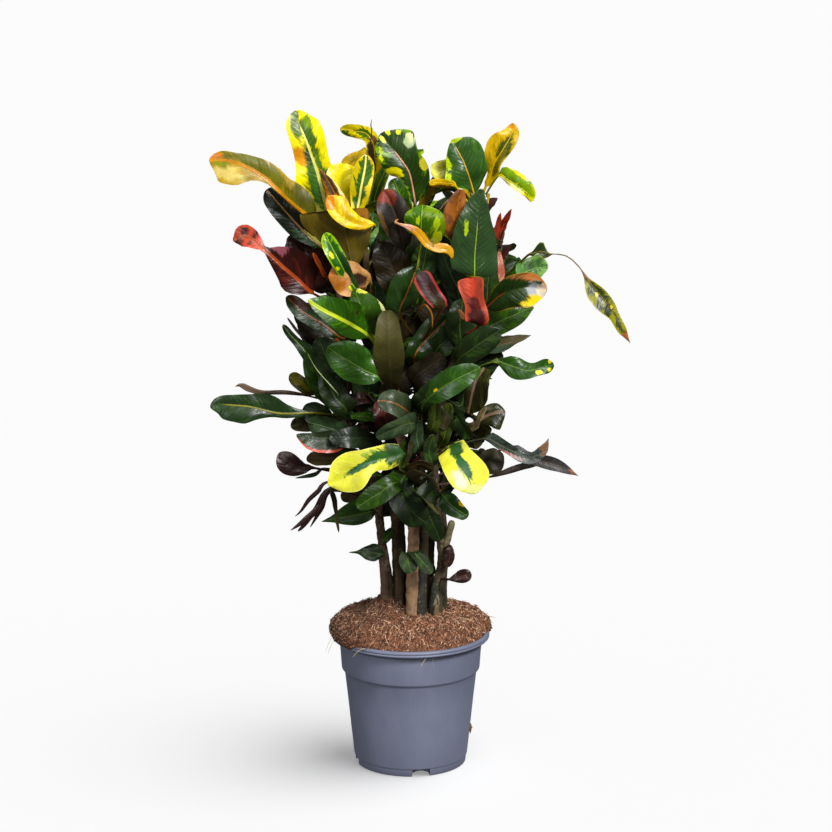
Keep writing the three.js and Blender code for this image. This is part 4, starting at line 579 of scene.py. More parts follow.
        spots=[(0.5, -2, 28, 6, "2f5a34"), (0.16, -3, 16, 10, "27501c"), (0.32, -26, 4, 4, "c98a3c"),
        (0.72, 12, 16, 8, "ecebac"), (0.95, 0, 8, 14, "dadd86")]),
    71: drawn([(96, 440), (115, 432), (130, 425), (150, 415), (165, 416), (176, 425), (181, 441)],
        (9, 10, 8, 6, 7, 8, 1), (4, 5, 6, 8, 8, 5, 1), lean=0, twist=0, tone=0.75,
        spots=[(0.97, 0, 20, 12, "70523c"), (0.4, 5, 16, 2.4, "8a5a50")]),
    72: drawn([(84, 462), (98, 470), (112, 475), (124, 476)], (3, 8, 13, 13, 8), (3, 10, 20, 22, 13), lean=0,
        look="bronzeRib", roundFrom=0.8, tone=0.8),
    73: drawn([(86, 404), (105, 410), (123, 408)], (6, 18, 20, 12), tone=0.45),
    74: drawn([(128, 428), (146, 420), (164, 412), (193, 404), (221, 390)], (3, 6, 8, 9, 6, 0.8), tone=0.7,
        spots=[(1.0, 0, 14, 8, "8a5844")]),
    75: drawn([(100, 388), (118, 393), (135, 399), (152, 404), (172, 406)], (1, 2.5, 4, 4.5, 4, 1),
        look="purpleGrey"),
    76: drawn([(42, 364), (52, 352), (62, 344), (76, 335)], (8, 13, 12, 9, 6), (8, 13, 13, 10, 7), lean=0,
        tone=0.75, spots=[(0.62, -9, 5, 3, "e8c43a")]),
    79: drawn([(-84, 440), (-104, 441), (-127, 441), (-150, 445)], (12, 19, 19, 15, 4), (8, 10, 9, 6, 3),
        lean=0),
    81: drawn([(-128, 401), (-140, 401), (-152, 404), (-163, 411), (-173, 421)], (3, 7, 13, 16, 15, 8),
        (3, 5, 9, 12, 12, 7)),
    82: drawn([(-108, 400), (-126, 392), (-152, 387)], (1, 2, 3, 2, 0.8), look="slate"),
    84: drawn([(-107, 382), (-122, 369), (-134, 358), (-145, 342), (-153, 335)], (1.5, 3, 3, 2, 0.8), lean=0,
        twist=0),
    85: drawn([(-102, 375), (-121, 347), (-145, 326), (-159, 316)], (2, 4, 4, 1), lean=0, twist=0),
    86: drawn([(-102, 370), (-118, 345), (-133, 320)], (1.5, 3, 0.8), lean=0, twist=0),
    87: drawn([(-99, 372), (-101, 356), (-97, 331), (-95, 313)], (4, 5.5, 5.5, 1), lean=0, twist=0),
    88: drawn([(-48, 342), (-66, 338), (-88, 334), (-118, 328)], (8, 12, 13, 10, 4, 1),
        (10, 18, 19, 13, 5, 1), lean=0, look="mid", tone=0.6),
    92: drawn([(-36, 283), (-45, 285), (-55, 286), (-66, 287), (-82, 286)], (4, 11, 10, 3, 0.8),
        (4, 12, 9, 2, 0.8), pointed=False),
    97: drawn([(50, 249), (58, 251), (66, 253), (74, 254.5), (81, 255)], (1, 4, 8, 9, 6), (1, 5, 9, 9, 6)),
    33: dict(tone=0.66), 40: dict(tone=0.78), 54: dict(tone=0.5, look="olive", gloss=0.4),
    62: dict(tone=0.7), 63: dict(tone=0.85), 64: dict(tone=0.85), 66: dict(tone=0.8), 68: dict(tone=0.8),
    77: dict(look="dried", tone=1.2), 83: dict(tone=0.4), 89: dict(look="mid", tone=0.68),
    91: dict(look="umber"), 94: dict(look="dark", tone=1.3, gloss=0.7), 95: dict(tone=0.7),
    96: dict(look="plum"),
}

# Leaves that show low between the stems, in front of them, and small ones among the others
extraLeaves = [
    leafRow("a5", 400, [(8, 374, -60), (17, 352, -74), (29, 326, -76), (39, 302, -68)], 26, "dark",
        stalk=0.16, tone=0.7),
    leafRow("a4", 290, [(6, 285, -50), (16, 273, -56), (28, 257, -58)], 20, "dark", tone=1.2, gloss=0.7),
    leafRow("a4", 420, [(-4, 398, -66), (12, 406, -76), (30, 398, -76)], 22, "maroon"),
    leafRow("a4", 392, [(-6, 392, -64), (-14, 372, -84), (0, 344, -92), (20, 326, -88)], 40, "dark",
        lean=14),
    leafRow("a5", 372, [(34, 372, -60), (22, 362, -76), (10, 340, -80)], 30, "dark", lean=-12),
    leafRow("a4", 664, [(8, 664, -96), (12, 682, -104), (16, 702, -108)], 7, "limeStalk", stalk=0.05),
    leafRow("a1b", 470, [(-112, 500, -50), (-122, 530, -58), (-126, 562, -58)], 34, "mid", lean=-10,
        tone=0.7),
    leafRow("a1b", 480, [(-98, 520, -60), (-108, 545, -66), (-120, 574, -66)], 38, "slate", lean=12),
    leafRow("a1b", 455, [(-104, 462, -34), (-122, 472, -40), (-142, 478, -42)], 34, "dark", lean=20),
    leafRow("a1", 430, [(-92, 448, -46), (-112, 456, -52), (-134, 462, -54)], 30, "slate", lean=-10),
    leafRow("a5", 456, [(84, 456, -66), (90, 468, -72), (99, 482, -74)], 12, "khaki", cup=30),
    leafRow("a4", 440, [(26, 450, -60), (32, 470, -66), (32, 498, -66)], 17, "olive", lean=10),
    leafRow("a5", 430, [(42, 436, -58), (47, 460, -64), (50, 488, -66)], 18, "olive", lean=-12),
    leafRow("a4", 424, [(12, 424, -62), (8, 442, -68), (10, 466, -68)], 18, "slate"),
    leafRow("a4", 396, [(-6, 400, -64), (-11, 418, -70), (-9, 440, -70)], 16, "olive"),
    leafRow("a5", 412, [(30, 404, -66), (24, 424, -74), (30, 446, -76)], 20, "dark", lean=14),
    leafRow("a4", 472, [(8, 484, -70), (20, 494, -82), (34, 520, -86)], 26, "dark", lean=-14),
    leafRow("a5", 470, [(58, 470, -66), (66, 458, -74), (78, 440, -76)], 26, "dark", lean=10),
    leafRow("a1b", 500, [(-139, 572, -50), (-148, 584, -52), (-160, 601, -50)], 4, "purpleGrey", stalk=0.4),
    leafRow("a2", 733, [(-50, 838, -58), (-51, 848, -58), (-49.5, 858, -58)], 1.6, "dried", stalk=0.5),
    leafRow("a4", 500, [(6, 520, -60), (22, 534, -68), (44, 550, -68)], 32, "umber", tone=0.6),
    leafRow("a1b", 470, [(-84, 478, -66), (-100, 498, -70), (-112, 528, -70)], 34, "dark", lean=10),
    leafRow("a1", 640, [(-96, 640, -40), (-126, 668, -44), (-156, 704, -44)], 36, "maroon", tone=0.5),
    leafRow("a4", 620, [(-14, 640, -72), (-24, 668, -78), (-36, 700, -78)], 46, "umber", tone=0.9,
        gloss=0.36),
    leafRow("a1", 640, [(-110, 642, -60), (-120, 664, -64), (-131, 690, -64)], 42, "maroon", tone=0.5),
    leafRow("a5", 530, [(34, 556, -50), (48, 572, -56), (62, 592, -56)], 32, "dark"),
    leafRow("a5", 630, [(96, 620, -40), (100, 645, -44), (102, 668, -44)], 28, "dark"),
    leafRow("a4", 640, [(12, 650, -60), (18, 675, -64), (22, 700, -66)], 32, "dark"),
    leafRow("a1", 366, [(-104, 373, -60), (-125, 345, -62), (-141, 323, -62), (-149, 315, -60)], 7, "plum",
        lean=0),
    leafRow("a5", 560, [(66, 560, -62), (64, 590, -70), (68, 625, -70)], 36, "dark"),
    leafRow("a5", 600, [(82, 612, -110), (72, 600, -124), (62, 612, -128)], 8, "coralDark", stalk=0.1),
    leafRow("a4", 600, [(18, 618, -124), (28, 604, -128), (28, 588, -128)], 3, "amber", stalk=0.1),
    leafRow("a1b", 500, [(-96, 501, -112), (-122, 532, -108), (-134, 554, -90)], 1.6, "paleRib", stalk=0.1),
    leafRow("a3", 560, [(-40, 560, -20), (-44, 600, -24), (-46, 650, -24)], 50, "dark"),
    leafRow("a4", 560, [(-4, 556, -14), (-6, 600, -20), (-10, 650, -20)], 54, "umber"),
    leafRow("a5", 556, [(36, 560, -20), (34, 600, -30), (30, 655, -30)], 50, "umber"),
    leafRow("a5", 560, [(78, 560, -10), (80, 600, -20), (84, 650, -24)], 46, "dark"),
    leafRow("a4", 640, [(-10, 640, -14), (-14, 690, -20), (-16, 740, -20)], 50, "dark"),
    leafRow("a5", 640, [(40, 640, -10), (46, 690, -20), (44, 735, -20)], 50, "dark"),
    leafRow("a4", 480, [(-20, 480, -20), (-24, 520, -24), (-24, 560, -24)], 50, "umber"),
    leafRow("a5", 500, [(66, 484, -20), (70, 510, -20), (80, 535, -20)], 30, "dark"),
    leafRow("a3", 470, [(-50, 480, -20), (-56, 520, -24), (-60, 560, -24)], 46, "dark"),
    leafRow("a2", 560, [(-80, 560, -10), (-88, 600, -16), (-96, 640, -16)], 44, "dark"),
]

# Leaves set by rule, for the sides, the back and the inside of the crown: how many, between which heights
ruleLeaves = [("a1", 15, 350, 735), ("a1b", 5, 440, 535), ("a2", 18, 345, 728), ("a4", 16, 350, 735),
              ("a5", 17, 355, 748), ("a6", 28, 345, 668), ("a7", 28, 350, 698)]

layout = {
    "standpoint": (7, -3200, 1135), "seed": 20261128, "turnPerLeaf": 137.508,
    "frontFace": (0, -1, 0.3), "latticeStep": 5, "nearRoot": 0.26,
    "clearOther": 7.5, "clearOwn": 5,    # how near blades may come
    "steps": 24, "middleStep": 14, "armSteps": 40, "barkSides": 6, "fineSteps": 200, "ruleStations": 26,
    "frontShares": (0, 0.14, 0.36, 0.58, 0.78, 0.94), "ruleShares": (0, 0.14, 0.38, 0.64, 0.88),
    "nearShares": (0.14, 0.45, 0.8, 1), "farShares": (0, 0.3, 0.66, 0.92),    # before a neck and beyond it
    "shiftStep": 8, "shiftCount": 14,
    "crown": [(318, -20, 20), (350, -62, 58), (400, -104, 96), (450, -112, 104), (500, -106, 98),
              (550, -128, 118), (620, -140, 138), (680, -138, 134), (730, -128, 104), (780, -112, 92),
              (820, -70, 78), (850, -10, 10)],    # height, left, right
    "crownFront": -45, "crownBack": 185,
    "turns": (0, 28, -28, 56, -56, 90, -90, 130, -130, 180), "tips": (0, 20, -20), "sizes": (1, 0.8, 0.62),
    "lengths": (118, 172), "widths": (0.22, 0.3),    # in millimetres, and as a share of the length
    "climb": (8, 58), "climbSpread": (-12, 12), "arch": 12, "droop": (18, 52),    # steeper towards the top
    "cup": (-4, 16), "lean": (-25, 25), "twist": (-50, 50),
}
blade = {
    "stalkWidth": 3.2, "stalkThickness": 2.8, "thickness": 1.5, "leastWidth": 0.4, "growth": 12,
    "stalk": 0.12, "cup": 5, "tailFullness": 0.7, "edgeLag": 0.4, "waves": (1.3, 2.3), "wave": (0.06, 0.2),
    "rise": 1.0, "fall": 0.42,
}
standpoint = np.array(layout["standpoint"], float)


def unit(v):
    return v / np.linalg.norm(v, axis=-1, keepdims=True)


def squareTo(v, course):    # what is left of v square to the course
    return unit(v - (v * course).sum(1, keepdims=True) * course)


def seen(across, height, depth):    # the point seen there from the standpoint, at that depth
    share = (depth - standpoint[1]) / -standpoint[1]
    return np.array((standpoint[0] + (across - standpoint[0]) * share, depth,
                     standpoint[2] + (height - standpoint[2]) * share))


def evenLine(points, count):    # evenly spaced points on a smooth curve through the given ones
    points = np.array(points, float)
    padded = np.vstack((2 * points[:1] - points[1:2], points, 2 * points[-1:] - points[-2:-1]))
    shares = np.linspace(0, 1, layout["fineSteps"] + 1)
    fine = curveAt(padded, shares)
    lengths = np.append(0, np.cumsum(np.linalg.norm(np.diff(fine, axis=0), axis=1)))
    return curveAt(padded, np.interp(np.linspace(0, lengths[-1], count + 1), lengths, shares))


def curveAt(padded, shares):    # a smooth curve through the values between the first and the last
    last = len(padded) - 3
    place = shares * last
    i = np.minimum(place.astype(int), last - 1)
    w = (place - i)[:, None]
    a, b, c, d = (padded[i + k] for k in range(4))
    start, end = (c - a) * 0.5, (d - b) * 0.5
    square, cube = 3 * c - 3 * b - 2 * start - end, 2 * b - 2 * c + start + end
    return b + start * w + square * w ** 2 + cube * w ** 3


for arm in (arms | shoots).values():
    arm["line"] = evenLine(arm["path"], layout["armSteps"])


def pointOnArm(name, height):
    line = arms[name]["line"]
    return np.array([np.interp(height, line[:, 2], line[:, axis]) for axis in range(3)])


def between(line, place):    # points of a line at places that count its steps
    i = np.minimum(place.astype(int), len(line) - 2)
    return mix(line[i], line[i + 1], (place - i)[:, None])


def courseOf(line):    # the direction of a line at each of its points
    return unit(np.vstack((line[1:2] - line[:1], line[2:] - line[:-2], line[-1:] - line[-2:-1])))


def lengthOf(line):
    return np.linalg.norm(np.diff(line, axis=0), axis=1).sum()


def turnsOf(sides):
    return 2 * np.pi * np.arange(sides) / sides


def ringPoints(line, across, over, turns, reach):    # rings round a line
    ring = across[:, None] * np.cos(turns)[None, :, None] + over[:, None] * np.sin(turns)[None, :, None]
    return (line[:, None] + ring * reach[..., None]).reshape(-1, 3)


def ringFaces(rows, sides, first=0):    # the wall between the rings, and both ends
    grid = first + np.arange(rows * sides).reshape(-1, sides)
    onward = np.roll(grid, -1, 1)
    walls = np.stack((grid[:-1], onward[:-1], onward[1:], grid[1:]), 2).reshape(-1, 4).tolist()
    return walls + [grid[0][::-1].tolist(), grid[-1].tolist()]


# A leaf's midrib in equal steps, with the direction that its upper face looks at each step
def makeMidrib(points, face, lean, twist):
    steps, middle = layout["steps"], layout["middleStep"]
    line = evenLine(points, steps)
    ahead = courseOf(line)
    faces = np.zeros_like(line)

    def flatten(v, i):
        return unit(v - v.dot(ahead[i]) * ahead[i])

    faces[middle] = flatten(np.array(face, float), middle)
    for i in range(middle + 1, steps + 1):
        faces[i] = flatten(faces[i - 1], i)
    for i in range(middle - 1, -1, -1):
        faces[i] = flatten(faces[i + 1], i)
    turn = np.radians(lean + twist * (np.arange(steps + 1) - middle) / steps)[:, None]
    return line, ahead, faces * np.cos(turn) + np.cross(ahead, faces) * np.sin(turn)


def frontMidrib(arm, height, path, leaf):    # of a leaf that starts on an arm and faces the front
    line = np.array([pointOnArm(arm, height), *path])
    return line, makeMidrib(line, layout["frontFace"], leaf.get("lean", 0), leaf.get("twist", 0))


# The outline of a blade that is widest beyond its middle and round at its end, from 0 to 1
def outline(t, pointed):
    inside = np.clip(t, 0, 1)
    if pointed:
        return np.sin(np.pi * np.sqrt(inside)).clip(0) ** 1.5
    rise, fall = blade["rise"], blade["fall"]
    fullest = (rise / (rise + fall)) ** rise * (fall / (rise + fall)) ** fall
    return inside ** rise * (1 - inside) ** fall / fullest


def bladeWidth(leaf, s):    # without the stalk
    end = leaf["neck"][0] if leaf.get("neck") else 1
    stalk = leaf.get("stalk", blade["stalk"])
    body = leaf["width"] * outline((s - stalk) / (end - stalk), leaf.get("pointed"))
    if leaf.get("neck"):
        start = leaf["neck"][1]
        tail = leaf["tail"] * outline((s - start) / (1 - start), False) ** blade["tailFullness"]
        body = np.where(s >= start, tail, body)
    return body


def sectionAt(leaf, s, width):    # middle, sideways and outward directions, and the rise of both edges
    line, ahead, faces = leaf["midrib"]
    place = s * layout["steps"]
    middle, onward, out = between(line, place), unit(between(ahead, place)), between(faces, place)
    out = squareTo(out, onward)
    half = width / 2
    spread = np.clip((width - blade["stalkWidth"]) / blade["growth"], 0, 1)
    cup = math.radians(leaf.get("cup", blade["cup"])) * spread
    lift = half * np.sin(cup)
    left, right = (lift + half * leaf["wave"] * spread * np.sin(2 * np.pi * (leaf["waves"] * s + turn))
                   for turn in (leaf["phase"], leaf["phase"] + blade["edgeLag"]))
    return middle, np.cross(onward, out), out, half * np.cos(cup), left, right, spread


def finishLeaf(leaf, shares, draw):
    leaf["wave"] = draw(*blade["wave"])
    leaf["waves"] = draw(*blade["waves"])
    leaf["phase"] = draw(0, 1)
    if leaf.get("neck"):
        near, far = leaf["neck"]
        beyond = [mix(far, 1, t) for t in layout["farShares"]]
        shares = [0, *(t * near for t in layout["nearShares"]), *beyond]
    leaf["shares"] = np.array(shares, float)
    return leaf


# Points spread over a blade, for comparing it with the others
def bladePoints(leaf):
    s = leaf["shares"]
    least = min(blade["stalkWidth"], leaf["width"] * blade["leastWidth"])
    middle, side, out, half, left, right, spread = sectionAt(leaf, s, np.maximum(bladeWidth(leaf, s), least))
    thick = mix(blade["stalkThickness"], blade["thickness"], spread) / 2
    rows = [middle - side * half[:, None] + out * left[:, None], middle + out * thick[:, None],
            middle + side * half[:, None] + out * right[:, None]]
    tip = leaf["midrib"][0][-1]
    rows = [np.vstack((row, tip)) for row in rows]
    shares = np.append(s, 1)
    found, roots = [], []
    for k in range(len(shares) - 1):
        length = np.linalg.norm(rows[1][k + 1] - rows[1][k])
        wide = max(np.linalg.norm(rows[0][i] - rows[2][i]) for i in (k, k + 1)) / 2
        count = max(1, math.ceil(length / layout["latticeStep"]))
        columns = max(1, math.ceil(wide / layout["latticeStep"]))
        along = ((np.arange(count) + 0.5) / count)[:, None]
        a, b, c = (mix(row[k], row[k + 1], along)[:, None] for row in rows)
        over = np.arange(-columns, columns + 1)[None, :, None] / columns
        found.append((b + np.where(over < 0, a - b, c - b) * abs(over)).reshape(-1, 3))
        nearRoot = mix(shares[k], shares[k + 1], along[:, 0]) < layout["nearRoot"]
        roots.append(np.repeat(nearRoot, 2 * columns + 1))
    return np.vstack(found), np.concatenate(roots)


# What stands already, kept in boxes so that only neighbours are compared
taken = {}
neighbours = list(itertools.product((-1, 0, 1), repeat=3))


def boxesOf(points):
    return np.floor(points / layout["clearOther"]).astype(int).tolist()


def take(points, roots, plant):
    for box, point, root in zip(boxesOf(points), points.tolist(), roots.tolist()):
        taken.setdefault(tuple(box), []).append((*point, root, plant))


def isClear(points, roots, plant):
    own, other = layout["clearOwn"] ** 2, layout["clearOther"] ** 2
    for (bx, by, bz), (x, y, z), root in zip(boxesOf(points), points.tolist(), roots.tolist()):
        for a, b, c in neighbours:
            for px, py, pz, pRoot, pPlant in taken.get((bx + a, by + b, bz + c), ()):
                mine = pPlant == plant
                if mine and (root or pRoot):
                    continue
                if (x - px) ** 2 + (y - py) ** 2 + (z - pz) ** 2 < (own if mine else other):
                    return False
    return True


def layBark(arm):    # each arm's bark takes its place first
    rows = math.ceil(lengthOf(arm["line"]) / layout["latticeStep"])
    shares = np.arange(rows + 1) / rows
    centres = between(arm["line"], shares * layout["armSteps"])
    radius = mix(*arm["radii"], shares)[:, None]
    turns = turnsOf(layout["barkSides"])
    points = ringPoints(centres, np.array([(1, 0, 0)]), np.array([(0, 1, 0)]), turns, radius)
    take(points, np.ones(len(points), bool), arm["plant"])


def placeFrontLeaf(row, draw):    # moves nearer or farther in small steps until it is clear
    plant = arms[row["arm"]]["plant"]
    leaf = finishLeaf(dict(row), layout["frontShares"], draw)
    for turn in range(2 * layout["shiftCount"] + 1):
        shift = math.ceil(turn / 2) * layout["shiftStep"] * (1 if turn % 2 else -1)
        path = [seen(x, z, depth + shift * min(1, (i + 1) / 2))
                for i, (x, z, depth) in enumerate(row["path"])]
        leaf["midrib"] = frontMidrib(row["arm"], row["root"], path, row)[1]
        points, roots = bladePoints(leaf)
        if isClear(points, roots, plant):
            take(points, roots, plant)
            leaf["shift"] = shift
            return [leaf]
    return []


def sharesAlong(path):    # from 0 at its start to 1 at its end
    spans = np.append(0, np.cumsum(np.hypot(*np.diff(path, axis=0).T)))
    return spans / spans[-1]


# Gives a listed leaf the midrib, widths and spots that it really has
def reshape(row, leaf):
    shape = shapes.get(frontLeaves.index(row), {})
    if "path" not in shape:
        leaf.update(shape)
        return
    old = np.array(row["path"], float)
    path = np.array(shape["path"], float)
    spans, own = sharesAlong(old[:, :2]), sharesAlong(path)
    forward = leaf["shift"] * np.minimum(1, own + 0.5) - shape.get("forward", 0)
    depths = np.interp(own, spans, old[:, 2]) + forward
    leaf.update({key: value for key, value in shape.items() if key != "path"})
    onward = [seen(*at, depth) for at, depth in zip(path, depths)]
    line, leaf["midrib"] = frontMidrib(row["arm"], row["root"], onward, leaf)
    if shape.get("open"):    # spread flat to the viewer from root to tip
        middle, ahead, _ = leaf["midrib"]
        leaf["midrib"] = middle, ahead, squareTo(unit(standpoint - middle), ahead)
    leaf["stalk"] = lengthOf(line[:2]) / lengthOf(line)


def insideCrown(point):
    if not layout["crownFront"] <= point[1] <= layout["crownBack"]:
        return False
    share = -standpoint[1] / (point[1] - standpoint[1])
    across = standpoint[0] + (point[0] - standpoint[0]) * share
    height = standpoint[2] + (point[2] - standpoint[2]) * share
    heights, lefts, rights = zip(*layout["crown"])
    if not heights[0] <= height <= heights[-1]:
        return False
    return np.interp(height, heights, lefts) < across < np.interp(height, heights, rights)


def placeRuleLeaf(name, share, root, heading0, draw, lengths, widths):    # turned and shortened until clear
    arm = arms[name]
    length = draw(*lengths)
    climb = mix(*layout["climb"], share * share) + draw(*layout["climbSpread"])
    droop = draw(*layout["droop"])
    width = length * draw(*widths)
    cup, lean, twist = draw(*layout["cup"]), draw(*layout["lean"]), draw(*layout["twist"])
    leaf = finishLeaf(dict(arm=name, cup=cup, lean=lean, twist=twist), layout["ruleShares"], draw)
    for size, tip, turn in itertools.product(layout["sizes"], layout["tips"], layout["turns"]):
        heading = math.radians(heading0 + turn)
        points = [root]
        for bend in (layout["arch"], 0, -droop):
            rising = math.radians(climb + tip + bend)
            ahead = np.array((math.cos(heading) * math.cos(rising), math.sin(heading) * math.cos(rising),
                              math.sin(rising)))
            points.append(points[-1] + ahead * length * size / 3)
        if not insideCrown(points[2]) or not insideCrown(points[3]):
            continue
        leaf["width"] = width * math.sqrt(size)
        face = (math.cos(heading) * 0.4, math.sin(heading) * 0.4, 1)
        leaf["midrib"] = makeMidrib(points, face, lean, twist)
        lattice, roots = bladePoints(leaf)
        if isClear(lattice, roots, arm["plant"]):
            take(lattice, roots, arm["plant"])
            return [leaf]
    return []


# The small leaves between the others, which fill the crown
fillLeaves = {
    "counts": [("a1", 22, 330, 740), ("a1b", 12, 430, 540), ("a2", 26, 330, 735), ("a3", 18, 330, 575),
               ("a4", 30, 330, 740), ("a5", 30, 330, 750), ("a6", 26, 330, 668), ("a7", 26, 340, 698)],
    "lengths": (58, 112), "widths": (0.26, 0.36), "clearOther": 4.5, "clearOwn": 3.2, "seed": 5150,
    "turn": 60,
}


def placeByRule(counts, turn, draw, lengths, widths):
    found = []
    for name, count, low, high in counts:
        for k in range(count):
            turn += layout["turnPerLeaf"]
            share = (k + 0.5) / count
            root = pointOnArm(name, mix(low, high, share))
            found += placeRuleLeaf(name, share, root, turn, draw, lengths, widths)
    return found


def placeFillLeaves():
    fill = fillLeaves
    draw = makeDraw(fill["seed"])
    layout["clearOther"], layout["clearOwn"] = fill["clearOther"], fill["clearOwn"]
    taken.clear()
    for arm in arms.values():
        layBark(arm)
    for leaf in leaves:
        take(*bladePoints(leaf), arms[leaf["arm"]]["plant"])
    found = []
    for row in extraLeaves:
        leaf = finishLeaf(dict(row), layout["frontShares"], draw)
        path = [seen(*point) for point in row["path"]]
        leaf["midrib"] = frontMidrib(row["arm"], row["root"], path, row)[1]
        take(*bladePoints(leaf), arms[row["arm"]]["plant"])
        found.append(leaf)
    found += placeByRule(fill["counts"], fill["turn"], draw, fill["lengths"], fill["widths"])
    for leaf in found:
        leaf.setdefault("stations", layout["ruleStations"])
    print("leaves added", len(found))
    return found


def placeLeaves():
    draw = makeDraw(layout["seed"])
    found = []
    for row in frontLeaves:
        for leaf in placeFrontLeaf(row, draw):
            leaf["row"] = row
            found.append(leaf)
    byHand = len(found)
    found += placeByRule(ruleLeaves, 0, draw, layout["lengths"], layout["widths"])
    for leaf in found[:byHand]:
        reshape(leaf.pop("row"), leaf)
    for leaf in found[byHand:]:
        leaf["stations"] = layout["ruleStations"]
    print("leaves", len(found), "by hand", byHand)
    return found


def paint(colors, amount, toMargin, toTip, veins, rim=0.0, **more):
    return dict(colors=colors.split(), blotch=(amount, toMargin, toTip), veins=veins, rim=rim, **more)


